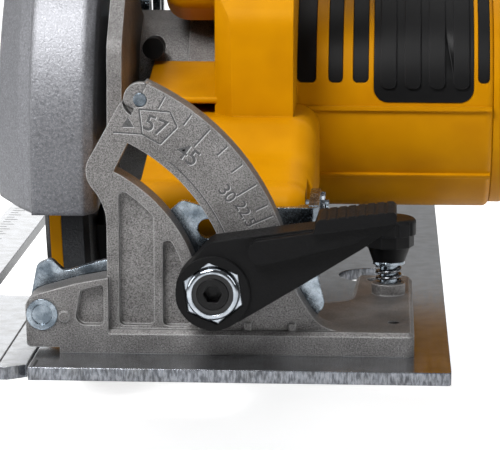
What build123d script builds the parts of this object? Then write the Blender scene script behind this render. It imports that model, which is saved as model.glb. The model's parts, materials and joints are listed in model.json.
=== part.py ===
"""Cordless circular saw, modelled in the saw frame and written in the sole's frame.

Saw frame, in millimetres: x = 0 at the cut line and growing towards the motor, y = 0 at the shoe's
front edge and growing rearward, z = 0 at the sole. The written parts have their origin at the middle
of the sole's outline.
"""
from build123d import *
import os
from math import acos, asin, atan2, cos, degrees, hypot, pi, radians, sin, sqrt, tan

# ---------------------------------------------------------------- driving dimensions
# Shoe
SHOE_LEFT, SHOE_RIGHT, SHOE_LENGTH, SHOE_T = -49.0, 127.0, 302.0, 4.0
WINDOW_LEFT, WINDOW_RIGHT, WINDOW_FRONT, WINDOW_REAR = -31.7, 35.5, 99.5, 287.0
SIGHT_HOLE = (101.5, 141.0, 11.5)          # x, y, radius
RIVETS = [(12.0, 40.0), (62.0, 40.0), (104.0, 99.0)]
REAR_RIVETS = [(-14.5, 296.5), (21.0, 296.5)]
TO_SOLE_CENTRE = Pos(-(SHOE_LEFT + SHOE_RIGHT) / 2, -SHOE_LENGTH / 2, 0)

# Bevel hinge, along Y
HINGE_X, HINGE_Z, HINGE_PIN_R = 0.3, 16.2, 3.0

# Bevel quadrant
FLANGE_FRONT, FLANGE_TOP, FLANGE_RIGHT = 19.1, 11.4, 115.9
WALL_FRONT, WALL_BACK = 22.0, 32.0
ARC_R, SLOT_IN_R, SLOT_OUT_R = 79.2, 50.0, 60.0
SLOT_TOP_DEG, SLOT_LOW_DEG = 63.4, 4.0
BOLT_DEG, BOLT_R, NUT_TURN = 10.3, 4.8, 38.0
LOCK_R = (SLOT_IN_R + SLOT_OUT_R) / 2
BOLT_X = HINGE_X + LOCK_R * cos(radians(BOLT_DEG))
BOLT_Z = HINGE_Z + LOCK_R * sin(radians(BOLT_DEG))
STOP_X, STOP_Z, STOP_R = 31.0, 83.2, 5.2
LIP_EDGE = [(25.9, 73.9), (36.2, 93.5)]     # edge of the lip in front of the stop cam, as (x, z)
LOCATING_HOLE = (109.5, 34.7)

# Tilt bracket and depth pivot, along X
BRACKET_FRONT, BRACKET_T = 32.4, 3.2
EAR_LEFT, EAR_RIGHT, BEND_R = 21.0, 82.5, 3.2   # left faces of the two ears, bend's outer radius
DEPTH_Y, DEPTH_Z, DEPTH_PIN_R = 60.0, 42.0, 4.0
STRAP_R, STRAP_W, STRAP_X, STRAP_T = 230.0, 18.0, 10.4, 3.0
CLAMP_DEG = 8.0                             # clamp bolt's angle about the depth pivot at rest
CLAMP_Y = DEPTH_Y + STRAP_R * cos(radians(CLAMP_DEG))
CLAMP_Z = DEPTH_Z + STRAP_R * sin(radians(CLAMP_DEG))
DEPTH_DOWN_DEG, DEPTH_UP_DEG = 8.5, 18.5

# Blade and spindle, along X
ARBOR_Y, ARBOR_Z = 193.0, 50.0
BLADE_R, BLADE_X, BLADE_T, TEETH = 92.0, -1.0, 1.2, 24
BLADE_LEFT, BLADE_RIGHT = BLADE_X - BLADE_T / 2, BLADE_X + BLADE_T / 2
SPINDLE_R, SHAFT_R, RUNNING = 7.5, 4.0, 0.03   # spindle, armature shaft, bearing clearance

# Guards
GUARD_R = 106.0
LOWER_R, LOWER_IN_R = 95.5, 93.5
BOSS_R = 22.0
GUARD_LOW_Z, GUARD_NOSE_Y, GUARD_SLOPE = 34.0, 85.0, tan(radians(8.5))
DUST_X, DUST_Z, DUST_R, DUST_END, DUST_DEPTH = -9.5, 112.0, 16.0, 318.0, 26.0

# Gear pair and motor
MODULE, GEAR_TEETH, PINION_TEETH = 1.0, 41, 9
GEAR_CENTRES = MODULE * (GEAR_TEETH + PINION_TEETH) / 2
MOTOR_DIR = atan2(16.4, -18.87)             # from the spindle to the motor axis, in the YZ plane
MOTOR_Y = ARBOR_Y + GEAR_CENTRES * cos(MOTOR_DIR)
MOTOR_Z = ARBOR_Z + GEAR_CENTRES * sin(MOTOR_DIR)
MOTOR_R, MOTOR_WALL = 42.0, 3.0
HOUSING_LEFT, HOUSING_RIGHT = 46.0, 144.0
GEAR_X0, GEAR_X1 = 20.0, 32.0
LOCK_X, LOCK_Z = 24.0, 85.6                 # spindle lock button's axis
LOUVRES = [(75.0, 81.8), (86.0, 91.2), (94.6, 100.2), (138.4, 142.6)]
PAD_X0, PAD_X1 = 102.0, 137.0
LOUVRE_LOW, PAD_LOW, LOUVRE_TOP = 74.4, 67.8, 104.0

# Handle, battery
HANDLE_X0, HANDLE_X1 = 28.0, 62.0
HANDLE_MID = (HANDLE_X0 + HANDLE_X1) / 2
FOOT_X0, FOOT_X1, FOOT_Y0, FOOT_Y1, FOOT_Z0, FOOT_T = 32.0, 108.0, 230.0, 318.0, 96.0, 5.0
HANDLE_LOW = FOOT_Z0 + FOOT_T
HANDLE = [(124, 104, 6), (150, 128, 30), (176, 182, 26), (232, 200, 40), (306, 170, 22), (324, 138, 16),
          (FOOT_Y1 + 1, HANDLE_LOW, 4), (226, HANDLE_LOW, 8), (205, 92, 4), (150, 92, 4)]
HAND_HOLE = [(199, 122, 9), (190, 152, 14), (216, 171, 12), (286, 147, 12), (294, 122, 10)]
HANDLE_SCREWS = [(178, 150), (212, 108), (309, 118)]
TRIGGER_Y, TRIGGER_Z, TRIGGER_PIN_R = 230.0, 170.0, 1.94
LOCKOFF_Y, LOCKOFF_Z = 206.0, 183.0
PACK_Z0 = 52.0
KEY_X, KEY_Z, KEY_AF = HANDLE_X0 - 2.9, 107.0, 5.0
KEY_CLIPS = (224.0, 262.0)                  # front faces of the two clips on the handle

# Edge-guide clamp, along Z
CLAMP_X, CLAMP_SCREW_Y, CLAMP_SCREW_R = 107.8, 78.0, 3.0
CLAMP_BOSS_TOP = 15.0


# ---------------------------------------------------------------- helpers
def block(x0, x1, y0, y1, z0, z1):
    return Pos((x0 + x1) / 2, (y0 + y1) / 2, (z0 + z1) / 2) * Box(x1 - x0, y1 - y0, z1 - z0)


def rod_x(r, x0, x1, y, z):
    return Pos((x0 + x1) / 2, y, z) * Rot(0, 90, 0) * Cylinder(r, x1 - x0)


def rod_y(r, y0, y1, x, z):
    return Pos(x, (y0 + y1) / 2, z) * Rot(90, 0, 0) * Cylinder(r, y1 - y0)


def rod_z(r, z0, z1, x, y):
    return Pos(x, y, (z0 + z1) / 2) * Cylinder(r, z1 - z0)


def cone_z(r0, r1, z0, z1, x, y):
    return Pos(x, y, (z0 + z1) / 2) * Cone(r0, r1, z1 - z0)


def outline(corners):
    """Closed face through corners (u, v, radius), each corner rounded by its radius."""
    starts, mids, ends = [], [], []
    count = len(corners)
    for i, (u, v, r) in enumerate(corners):
        here = Vector(u, v)
        if r == 0:
            starts.append(here)
            mids.append(None)
            ends.append(here)
            continue
        back = (Vector(*corners[i - 1][:2]) - here).normalized()
        on = (Vector(*corners[(i + 1) % count][:2]) - here).normalized()
        half = radians(back.get_angle(on)) / 2
        middle = (back + on).normalized()
        starts.append(here + back * (r / tan(half)))
        mids.append(here + middle * (r / sin(half) - r))
        ends.append(here + on * (r / tan(half)))
    edges = []
    for i in range(count):
        if mids[i] is not None:
            edges.append(ThreePointArc(starts[i], mids[i], ends[i]))
        after = starts[(i + 1) % count]
        if (after - ends[i]).length > 1e-5:
            edges.append(Line(ends[i], after))
    return make_face(edges)


def front_prism(face, y0, y1):
    """Extrude a face drawn in (x, z) from y0 to y1."""
    return extrude(Plane(origin=(0, y1, 0), x_dir=(1, 0, 0), z_dir=(0, -1, 0)) * face, y1 - y0)


def side_prism(face, x0, x1):
    """Extrude a face drawn in (y, z) from x0 to x1."""
    return extrude(Plane(origin=(x0, 0, 0), x_dir=(0, 1, 0), z_dir=(1, 0, 0)) * face, x1 - x0)


def plan_prism(face, z0, z1):
    """Extrude a face drawn in (x, y) from z0 to z1."""
    return extrude(Pos(0, 0, z0) * face, z1 - z0)


def arc_band(r0, r1, deg0, deg1):
    """Ring sector about the origin of the sketch plane."""
    mid = radians((deg0 + deg1) / 2)
    a, b = radians(deg0), radians(deg1)
    inner = [(r0 * cos(t), r0 * sin(t)) for t in (a, mid, b)]
    outer = [(r1 * cos(t), r1 * sin(t)) for t in (a, mid, b)]
    return make_face([
        ThreePointArc(*inner), Line(inner[2], outer[2]), ThreePointArc(*reversed(outer)), Line(outer[0], inner[0])])


def hexagon(across_flats, turn=0):
    return Rot(0, 0, turn) * RegularPolygon(across_flats / sqrt(3), 6)


def turned_x(profile, y, z):
    """Revolve a face drawn in (x, radius) about the line along X through y, z."""
    return Pos(0, y, z) * revolve(profile, Axis.X)


def polar(r, deg):
    return r * cos(radians(deg)), r * sin(radians(deg))


# ---------------------------------------------------------------- shoe
def shoe_plate():
    plate = plan_prism(outline([
        (SHOE_LEFT, 0, 8), (-8.0, 0, 0), (-2.8, 3.4, 0), (-1.6, 3.4, 0), (-1.6, 0, 0),
        (SHOE_RIGHT, 0, 1.5), (SHOE_RIGHT, SHOE_LENGTH, 12), (SHOE_LEFT, SHOE_LENGTH, 12)]), 0, SHOE_T)
    window = plan_prism(outline([
        (WINDOW_LEFT, WINDOW_FRONT, 12), (WINDOW_RIGHT, WINDOW_FRONT, 8),
        (WINDOW_RIGHT, WINDOW_REAR, 8), (WINDOW_LEFT, WINDOW_REAR, 12)]), -1, SHOE_T + 1)
    slit = block(-2.4, -1.6, 3.0, 26.0, -1, SHOE_T + 1)
    hole = rod_z(SIGHT_HOLE[2], -1, SHOE_T + 1, SIGHT_HOLE[0], SIGHT_HOLE[1])
    fold = block(-11.4, -10.8, 5.0, WINDOW_FRONT - 8, SHOE_T - 0.3, SHOE_T + 1)
    plate = plate - window - slit - hole - fold
    for x, y in RIVETS + REAR_RIVETS:
        plate -= rod_z(2.5, -1, SHOE_T + 1, x, y)
        plate -= cone_z(4.4, 2.5, 0, 1.6, x, y)
    return plate


def rivet(x, y, top):
    """Countersunk below, flush in the sole, with a low head on top."""
    body = cone_z(4.4, 2.5, 0, 1.6, x, y) + rod_z(2.5, 1.6, top, x, y)
    head = rod_z(3.6, top, top + 0.8, x, y)
    return body + head


def quadrant_outline():
    a0, a1 = radians(7.0), radians(66.0)
    arc = [(HINGE_X + ARC_R * cos(t), HINGE_Z + ARC_R * sin(t)) for t in (a0, (a0 + a1) / 2, a1)]
    edges = [ThreePointArc(*arc)]
    edges += [Line(arc[2], (24.6, 81.8)), Line((24.6, 81.8), (15.6, 65.6))]
    edges += [ThreePointArc((15.6, 65.6), (14.1, 60.6), (15.9, 55.8))]
    edges += [Spline((15.9, 55.8), (18.0, 52.9), (19.9, 48.4), (20.4, 42.0), tangents=[(0.6, -0.8), (0, -1)])]
    edges += [Line((20.4, 42.0), (20.4, FLANGE_TOP - 2)), Line((20.4, FLANGE_TOP - 2), (92.0, FLANGE_TOP - 2)),
              Line((92.0, FLANGE_TOP - 2), (92.0, FLANGE_TOP))]
    edges += [Spline((92.0, FLANGE_TOP), (85.5, 14.4), (81.2, 20.5), arc[0],
                     tangents=[(-1, 0.15), (-sin(a0), cos(a0))])]
    return make_face(edges)


def bevel_quadrant():
    flange_plan = outline([
        (5.7, FLANGE_FRONT, 0), (FLANGE_RIGHT, FLANGE_FRONT, 2.5), (FLANGE_RIGHT, 107.0, 4),
        (97.0, 107.0, 3), (95.4, 64.5, 9), (70.0, 60.0, 8), (58.0, 47.0, 8), (5.7, 47.0, 3)])
    body = plan_prism(flange_plan, SHOE_T, FLANGE_TOP)
    top_edges = body.faces().sort_by(Axis.Z)[-1].edges()
    body = chamfer(top_edges, 1.2)
    body += front_prism(quadrant_outline(), WALL_FRONT, WALL_BACK)
    slot = Pos(HINGE_X, HINGE_Z) * arc_band(SLOT_IN_R, SLOT_OUT_R, SLOT_LOW_DEG, SLOT_TOP_DEG)
    body -= front_prism(slot, WALL_FRONT - 1, WALL_BACK + 1)
    body += hinge_lug()
    # the web's two pockets below the slot, with a rib between them
    for x0, x1 in ((24.2, 35.0), (37.8, 50.0)):
        cell = Pos(HINGE_X, HINGE_Z) * Circle(SLOT_IN_R - 3.7) & Pos((x0 + x1) / 2, 42.4) * Rectangle(x1 - x0, 60.0)
        body -= front_prism(fillet(cell.vertices(), 1.6), WALL_FRONT - 4, WALL_FRONT + 2.4)
    for x in (49.9, 64.3, 78.0):
        body += block(x - 1.0, x + 1.0, WALL_FRONT - 1.1, WALL_FRONT + 1, FLANGE_TOP - 1, FLANGE_TOP + 2.4)
    # clamp boss, its screw hole, the bar channel below it, and a locating hole
    body += rod_z(5.6, FLANGE_TOP - 1, CLAMP_BOSS_TOP, CLAMP_X, CLAMP_SCREW_Y)
    body -= rod_z(CLAMP_SCREW_R + 0.08, 3, 20, CLAMP_X, CLAMP_SCREW_Y)
    body -= block(84.0, 120.0, 67.5, 88.5, SHOE_T - 1, SHOE_T + 3.4)
    body -= rod_z(1.9, 3, 20, *LOCATING_HOLE)
    for x, y in RIVETS:
        body -= rod_z(2.5, 0, 20, x, y)
        body -= rod_z(3.6, FLANGE_TOP - 1.6, 20, x, y)
    # the eccentric stop's seat, which a lip covers on one side
    open_side = front_prism(make_face(Polyline(*LIP_EDGE, (15, 95), (15, 74), close=True)),
                            WALL_FRONT - 1, WALL_FRONT + 1.6)
    body -= rod_y(STOP_R + 0.25, WALL_FRONT + 1.4, WALL_FRONT + 5.0, STOP_X, STOP_Z)
    body -= rod_y(STOP_R + 0.25, WALL_FRONT - 1, WALL_FRONT + 1.6, STOP_X, STOP_Z) & open_side
    body -= rod_y(2.3, WALL_FRONT - 1, WALL_FRONT + 2, STOP_X, STOP_Z)
    return body - rod_y(1.7, WALL_FRONT, WALL_BACK + 1, STOP_X, STOP_Z)


def hinge_lug():
    """Lug that carries the front hinge pin, with a slanted top, a bump and a counterbore."""
    face = outline([(-4.6, 5.8, 1.5), (5.7, 5.8, 0), (5.7, SHOE_T, 0), (21.0, SHOE_T, 0), (21.0, 28.0, 0),
                    (10.7, 26.0, 3), (-0.5, 22.8, 4), (-5.0, 21.0, 4)])
    lug = front_prism(face, FLANGE_FRONT, 31.6)
    pocket = outline([(10.2, 13.0, 3), (19.6, 13.0, 1.5), (19.6, 26.0, 1), (12.4, 24.0, 1)])
    lug -= front_prism(pocket, FLANGE_FRONT - 1, FLANGE_FRONT + 2.5)
    lug += rod_y(1.7, FLANGE_FRONT - 0.8, FLANGE_FRONT + 1, 7.2, 15.6)
    lug -= rod_y(4.3, FLANGE_FRONT - 1, FLANGE_FRONT + 1.5, HINGE_X, HINGE_Z)
    lug -= rod_y(HINGE_PIN_R, FLANGE_FRONT - 1, 40, HINGE_X, HINGE_Z)
    return lug


def tube_pin(y0, y1, flare):
    """Hollow hinge pin along the bevel axis, flared at its front end."""
    pin = rod_y(HINGE_PIN_R, y0, y1, HINGE_X, HINGE_Z) + rod_y(flare, y0, y0 + 1.0, HINGE_X, HINGE_Z)
    return pin - rod_y(2.0, y0 - 1, y0 + 9, HINGE_X, HINGE_Z)


def stop_cam():
    cam = rod_y(STOP_R, WALL_FRONT + 1.6, WALL_FRONT + 4.8, STOP_X, STOP_Z)
    notch = block(STOP_X - 6, STOP_X + 6, WALL_FRONT + 1, WALL_FRONT + 2.4, STOP_Z - 6, STOP_Z - 3.4)
    cam -= Pos(STOP_X, 0, STOP_Z) * Rot(0, 25, 0) * Pos(-STOP_X, 0, -STOP_Z) * notch
    return cam - rod_y(1.75, 0, 60, STOP_X, STOP_Z)


def stop_rivet():
    head = rod_y(2.1, WALL_FRONT + 0.7, WALL_FRONT + 1.58, STOP_X, STOP_Z)
    return head + rod_y(1.7, WALL_FRONT + 1, WALL_BACK, STOP_X, STOP_Z)


def rear_bracket():
    base = plan_prism(outline([(-20, 290.2, 2), (27, 290.2, 2), (27, 301.2, 3), (-20, 301.2, 3)]),
                      SHOE_T, SHOE_T + 3.2)
    lug = front_prism(outline([(-10, SHOE_T, 0), (11, SHOE_T, 0), (8.3, 24.4, 7.5), (-7.7, 24.4, 7.5)]),
                      292.4, 298.4)
    bracket = base + lug - rod_y(HINGE_PIN_R, 280, 310, HINGE_X, HINGE_Z)
    for x, y in REAR_RIVETS:
        bracket -= rod_z(2.5, 0, 20, x, y)
    return bracket


# ---------------------------------------------------------------- edge-guide clamp
def clamp_knob():
    x, y = CLAMP_X, CLAMP_SCREW_Y
    head = rod_z(9.0, 31.6, 37.0, x, y)
    head = fillet(head.edges().sort_by(Axis.Z)[-1], 1.6)
    collar = plan_prism(Pos(x, y) * RegularPolygon(8.3, 10), 27.6, 31.6)
    hub = cone_z(5.4, 7.2, 22.6, 27.6, x, y)
    knob = head + collar + hub - rod_z(CLAMP_SCREW_R, 20, 32, x, y)
    for i in range(10):
        u, v = polar(9.7, 36 * i)
        knob -= rod_z(1.1, 31, 38, x + u, y + v)
    return knob


def clamp_screw():
    return rod_z(CLAMP_SCREW_R, 7.6, 32, CLAMP_X, CLAMP_SCREW_Y)


def washer_z(r_in, r_out, z0, z1, x, y):
    return rod_z(r_out, z0, z1, x, y) - rod_z(r_in, z0 - 1, z1 + 1, x, y)


def coil_z(radius, wire, z0, z1, turns, x, y):
    path = Helix(pitch=(z1 - z0) / turns, height=z1 - z0, radius=radius)
    start = Plane(origin=path @ 0, z_dir=path % 0)
    return Pos(x, y, z0) * sweep(start * Circle(wire), path)


# ---------------------------------------------------------------- tilting frame
def tilt_bracket():
    y0, y1 = BRACKET_FRONT, BRACKET_FRONT + BRACKET_T
    face = outline([
        (-6.4, 12.0, 5), (2.4, 8.8, 3.5), (5.2, 12.4, 1.5), (84.0, 12.6, 3.5), (88.0, 17.0, 3.5),
        (EAR_RIGHT + BRACKET_T, 26.0, 4), (EAR_RIGHT + BRACKET_T, 48.2, 0), (50.5, 48.2, 4), (43.0, 50.4, 3),
        (38.0, 46.0, 5), (28.0, 32.0, 8), (18.0, 30.8, 6), (5.6, 27.0, 3), (1.4, 31.2, 2.2), (-3.0, 29.4, 2)])
    plate = front_prism(face, y0, y1)
    ear = side_prism(outline([
        (y0, 22.0, 0), (y0 + 14, 22.0, 6), (DEPTH_Y + 7.5, 33.0, 7.4), (DEPTH_Y + 7.5, DEPTH_Z + 7.5, 7.4),
        (DEPTH_Y - 8, DEPTH_Z + 7.5, 8), (y0, 48.2, 0)]), 0, BRACKET_T)
    left_ear = side_prism(outline([
        (y0, 14.0, 0), (y0 + 14, 16.0, 6), (DEPTH_Y + 7.5, 33.0, 7.4), (DEPTH_Y + 7.5, DEPTH_Z + 7.5, 7.4),
        (DEPTH_Y - 7.5, DEPTH_Z + 7.5, 6), (y0, 30.0, 0)]), 0, BRACKET_T)
    bracket = plate + Pos(EAR_RIGHT, 0, 0) * ear + Pos(EAR_LEFT, 0, 0) * left_ear
    bend_x = EAR_RIGHT + BRACKET_T - BEND_R
    bracket -= block(bend_x, bend_x + BEND_R + 0.01, y0 - 1, y0 + BEND_R, 27.0, 60.0)
    bracket += rod_z(BEND_R, 27.0, 48.2, bend_x, y0 + BEND_R)
    bracket -= rod_y(HINGE_PIN_R + 0.06, y0 - 1, y1 + 1, HINGE_X, HINGE_Z)
    bracket -= rod_y(BOLT_R, y0 - 1, y1 + 1, BOLT_X, BOLT_Z)
    bracket -= rod_y(3.1, y0 - 1, y1 + 1, 51.0, 41.3)
    bracket -= rod_x(DEPTH_PIN_R, 0, 120, DEPTH_Y, DEPTH_Z)
    return bracket


def depth_strap():
    """Arc strap with its slot, and the foot that hangs on the rear hinge pin."""
    span0, span1 = CLAMP_DEG - DEPTH_DOWN_DEG, CLAMP_DEG + DEPTH_UP_DEG
    arc = Pos(DEPTH_Y, DEPTH_Z) * arc_band(STRAP_R - STRAP_W / 2, STRAP_R + STRAP_W / 2, span0 - 3.2, span1 + 3.4)
    side = side_prism(arc, STRAP_X, STRAP_X + STRAP_T)
    slot = Pos(DEPTH_Y, DEPTH_Z) * arc_band(STRAP_R - 3.3, STRAP_R + 3.3, span0 - 0.9, span1 + 0.9)
    leg = side_prism(outline([(281.0, 40.0, 0), (282.0, 12.0, 3), (291.2, 9.4, 0), (291.2, 30.0, 0),
                              (299.0, 38.0, 3)]), STRAP_X, STRAP_X + STRAP_T)
    foot = front_prism(outline([(-7.4, 9.4, 6), (STRAP_X + STRAP_T, 9.4, 0), (STRAP_X + STRAP_T, 26.0, 0),
                                (-7.4, 23.6, 7)]), 288.4, 291.4)
    strap = side + leg + foot - side_prism(slot, STRAP_X - 1, STRAP_X + STRAP_T + 1)
    return strap - rod_y(HINGE_PIN_R + 0.06, 280, 300, HINGE_X, HINGE_Z)


def depth_pin():
    pin = rod_x(DEPTH_PIN_R, EAR_LEFT - 2.4, EAR_RIGHT + BRACKET_T + 2.6, DEPTH_Y, DEPTH_Z)
    return pin + rod_x(6.0, EAR_LEFT - 4.4, EAR_LEFT - 0.1, DEPTH_Y, DEPTH_Z)


def pin_clip():
    x = EAR_RIGHT + BRACKET_T + 0.2
    ring = rod_x(6.4, x, x + 1.2, DEPTH_Y, DEPTH_Z) - rod_x(DEPTH_PIN_R, x - 1, x + 2, DEPTH_Y, DEPTH_Z)
    return ring - block(x - 1, x + 2, DEPTH_Y - 1.6, DEPTH_Y + 1.6, DEPTH_Z, DEPTH_Z + 9)


def lock_bolt():
    """Carriage bolt through the bracket, slot and lever, with a socket in its front end."""
    shank = rod_y(BOLT_R, 6.0, BRACKET_FRONT + BRACKET_T, BOLT_X, BOLT_Z)
    head = rod_y(8.5, BRACKET_FRONT + BRACKET_T, BRACKET_FRONT + BRACKET_T + 3.6, BOLT_X, BOLT_Z)
    head = fillet(head.edges().sort_by(Axis.Y)[-1], 2.2)
    socket = front_prism(Pos(BOLT_X, BOLT_Z) * hexagon(5.0), 5, 10)
    return shank + head - socket


def slot_washer():
    ring = rod_y(9.2, WALL_FRONT - 1.3, WALL_FRONT - 0.02, BOLT_X, BOLT_Z)
    return ring - rod_y(BOLT_R + 0.08, WALL_FRONT - 3, WALL_FRONT + 1, BOLT_X, BOLT_Z)


def bevel_lever():
    back = WALL_FRONT - 1.4
    arm = outline([
        (51.2, 15.2, 10), (62.0, 17.0, 4), (81.0, 28.6, 30), (99.6, 40.2, 20), (110.2, 47.6, 2),
        (109.6, 50.2, 1), (89.5, 46.9, 6), (76.9, 45.2, 10), (53.5, 41.8, 5), (43.2, 30.5, 6), (42.8, 20.5, 8)])
    lever = front_prism(arm, 8.0, back)
    arm_rim = outline([
        (64.0, 34.0, 4), (97.6, 42.6, 4), (108.6, 49.2, 1), (90.0, 46.4, 6), (66.0, 42.6, 3)])
    lever += front_prism(arm_rim, 4.6, 9.0)
    pad = outline([(84.8, 45.5, 0), (109.8, 49.0, 0), (110.2, 52.9, 1.6), (86.4, 50.1, 1.2)])
    lever += front_prism(pad, 2.4, 21.4)
    for i in range(7):
        x = 89.2 + 2.9 * i
        lever -= Pos(x, 12.4, 50.6 + 2.9 * i * 0.115) * Rot(0, -6.7, 0) * Box(0.8, 30, 0.8)
    lever += rod_y(11.4, 7.0, back, BOLT_X, BOLT_Z)
    lever -= front_prism(Pos(BOLT_X, BOLT_Z) * hexagon(16.8, NUT_TURN), 3, 15.4)
    return lever - rod_y(BOLT_R + 0.08, 0, 30, BOLT_X, BOLT_Z)


def lock_nut():
    nut = front_prism(Pos(BOLT_X, BOLT_Z) * hexagon(16.6, NUT_TURN), 8.2, 15.3)
    collar = rod_y(8.1, 5.6, 8.4, BOLT_X, BOLT_Z)
    nut += fillet(collar.edges().sort_by(Axis.Y)[0], 1.2)
    nut -= rod_y(6.4, 5.0, 9.4, BOLT_X, BOLT_Z)
    return nut - rod_y(BOLT_R + 0.08, 0, 30, BOLT_X, BOLT_Z)


def nut_insert():
    ring = rod_y(6.4, 6.2, 9.4, BOLT_X, BOLT_Z)
    return ring - rod_y(BOLT_R + 0.08, 0, 30, BOLT_X, BOLT_Z)


# ---------------------------------------------------------------- guards
def guard_line(y):
    """Height of the upper guard's lower edge, parallel to the shoe at full depth."""
    return GUARD_LOW_Z + (y - GUARD_NOSE_Y) * GUARD_SLOPE


def below_guard_line():
    region = Polyline((60, -60), (330, -60), (330, guard_line(330)), (60, guard_line(60)), close=True)
    return side_prism(make_face(region), -60, 60)


def guard_form():
    """The upper guard's outer form as a full turned solid."""
    return turned_x(make_face(Polyline((-28, 0), (-28, 80), (-26.5, 86), (-18.3, 98), (-13.4, 103.6), (-12.8, GUARD_R),
                                       (4.9, GUARD_R), (8, 103.4), (9, 100), (9, 0), close=True)), ARBOR_Y, ARBOR_Z)


def upper_guard():
    inner = make_face(Polyline((-25.5, 0), (-25.5, 79.5), (-24.2, 85), (-16.6, 96), (-11.6, 101.5), (-11, 103.4),
                               (4, 103.4), (5.6, 102), (6.5, 99.5), (6.5, 0), close=True))
    guard = guard_form() - turned_x(inner, ARBOR_Y, ARBOR_Z)
    guard -= below_guard_line()
    # rear lug for the depth clamp, outside the blade's circle
    lug = side_prism(outline([(276, 60, 3), (CLAMP_Y + 8, 62, 6), (CLAMP_Y + 8, CLAMP_Z + 8, 7),
                              (276, CLAMP_Z + 14, 3)]), 6.5, 10.1)
    lug -= rod_x(102.5, 0, 30, ARBOR_Y, ARBOR_Z)
    guard += lug
    guard -= rod_x(3.0, 0, 30, CLAMP_Y, CLAMP_Z) + rod_x(4.9, 0, 6.5, CLAMP_Y, CLAMP_Z)
    # opening for the gear case boss, and the hub of the lower guard
    guard -= rod_x(BOSS_R, 5, 12, ARBOR_Y, ARBOR_Z)
    # dust duct, which the port continues
    guard -= rod_y(14.0, 235, 320, DUST_X, DUST_Z)
    return guard


def dust_port():
    """Outlet tube whose root follows the guard's form, with a step that a nozzle seats on."""
    tube = rod_y(DUST_R + 2.4, 245, DUST_END, DUST_X, DUST_Z) - guard_form()
    return tube - rod_y(14.0, 230, DUST_END, DUST_X, DUST_Z) - rod_y(
        DUST_R, DUST_END - DUST_DEPTH, DUST_END + 2, DUST_X, DUST_Z)


def lower_guard():
    """Cup that hides the blade below the sole, turning on the gear case's boss."""
    outer = make_face(Polyline((-10.3, 46), (-10.3, 93), (-8.6, LOWER_R), (3.2, LOWER_R), (4.9, 93), (4.9, BOSS_R),
                               (3.4, BOSS_R), (3.4, 92.2), (2.4, LOWER_IN_R), (-7.8, LOWER_IN_R), (-8.9, 92.2),
                               (-8.9, 46), close=True))
    cup = turned_x(outer, ARBOR_Y, ARBOR_Z)
    sector = side_prism(Pos(ARBOR_Y, ARBOR_Z) * arc_band(26, 120, 186, 352), -30, 30)
    cup = cup & sector
    disc = rod_x(30, 3.4, 4.9, ARBOR_Y, ARBOR_Z) - rod_x(BOSS_R + 0.05, 0, 10, ARBOR_Y, ARBOR_Z)
    return cup + disc


def guard_lever():
    """Thumb lever on the right of the lower guard's disc."""
    arm = side_prism(Pos(ARBOR_Y, ARBOR_Z) * arc_band(56, 74, 200, 216), 4.9, 7.4)
    grip = side_prism(Pos(ARBOR_Y, ARBOR_Z) * arc_band(68, 74, 196, 220), 7.4, 11.5)
    return arm + grip


def guard_ring():
    ring = rod_x(24.5, 2.5, 3.3, ARBOR_Y, ARBOR_Z) - rod_x(BOSS_R - 0.6, 0, 6, ARBOR_Y, ARBOR_Z)
    return ring - block(0, 6, ARBOR_Y - 3, ARBOR_Y + 3, ARBOR_Z, ARBOR_Z + 30)


# ---------------------------------------------------------------- gear train
def involute_gear(teeth, backlash=0.12):
    """Outline of a 20 degree involute spur gear, with undercut-free straight roots."""
    pitch_r = MODULE * teeth / 2
    base_r = pitch_r * cos(radians(20))
    tip_r = pitch_r + MODULE * 0.92
    root_r = pitch_r - MODULE * 1.3
    inv_pitch = tan(radians(20)) - radians(20)
    half_tooth = (pi * MODULE / 2 - backlash) / (2 * pitch_r)
    start_r = max(base_r, root_r)
    flank = []
    for i in range(6):
        r = start_r + (tip_r - start_r) * i / 5
        pressure = acos(min(1, base_r / r))
        flank.append((r, half_tooth + inv_pitch - (tan(pressure) - pressure)))
    points = []
    for k in range(teeth):
        middle = 2 * pi * k / teeth
        rising = [(root_r, flank[0][1] * 1.05)] + flank
        for r, t in rising:
            points.append((r * cos(middle - t), r * sin(middle - t)))
        for r, t in reversed(rising):
            points.append((r * cos(middle + t), r * sin(middle + t)))
    return make_face(Polyline(*points, close=True))


def drive_gear():
    spin = degrees(MOTOR_DIR)
    face = Pos(ARBOR_Y, ARBOR_Z) * Rot(0, 0, spin) * involute_gear(GEAR_TEETH)
    gear = side_prism(face, GEAR_X0, GEAR_X1)
    gear -= turned_x(make_face(Polyline((19, 10.5), (19, 17), (23, 17), (23, 10.5), close=True)), ARBOR_Y, ARBOR_Z)
    return gear - rod_x(SPINDLE_R, 0, 60, ARBOR_Y, ARBOR_Z)


def pinion():
    half_pitch = 180 / PINION_TEETH
    face = Pos(MOTOR_Y, MOTOR_Z) * Rot(0, 0, degrees(MOTOR_DIR) + 180 + half_pitch) * involute_gear(PINION_TEETH)
    return side_prism(face, GEAR_X0 - 1, GEAR_X1 + 1) - rod_x(2.5, 0, 60, MOTOR_Y, MOTOR_Z)


def bearing(r_in, r_out, x0, x1, y, z):
    """Ball bearing with closed shields."""
    race_in, race_out = r_in + (r_out - r_in) * 0.3, r_in + (r_out - r_in) * 0.7
    ring = rod_x(r_out, x0, x1, y, z) - rod_x(r_in, x0 - 1, x1 + 1, y, z)
    for a, b in ((x0 - 1, x0 + 0.7), (x1 - 0.7, x1 + 1)):
        ring -= rod_x(race_out, a, b, y, z) - rod_x(race_in, a - 1, b + 1, y, z)
    return ring


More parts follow.
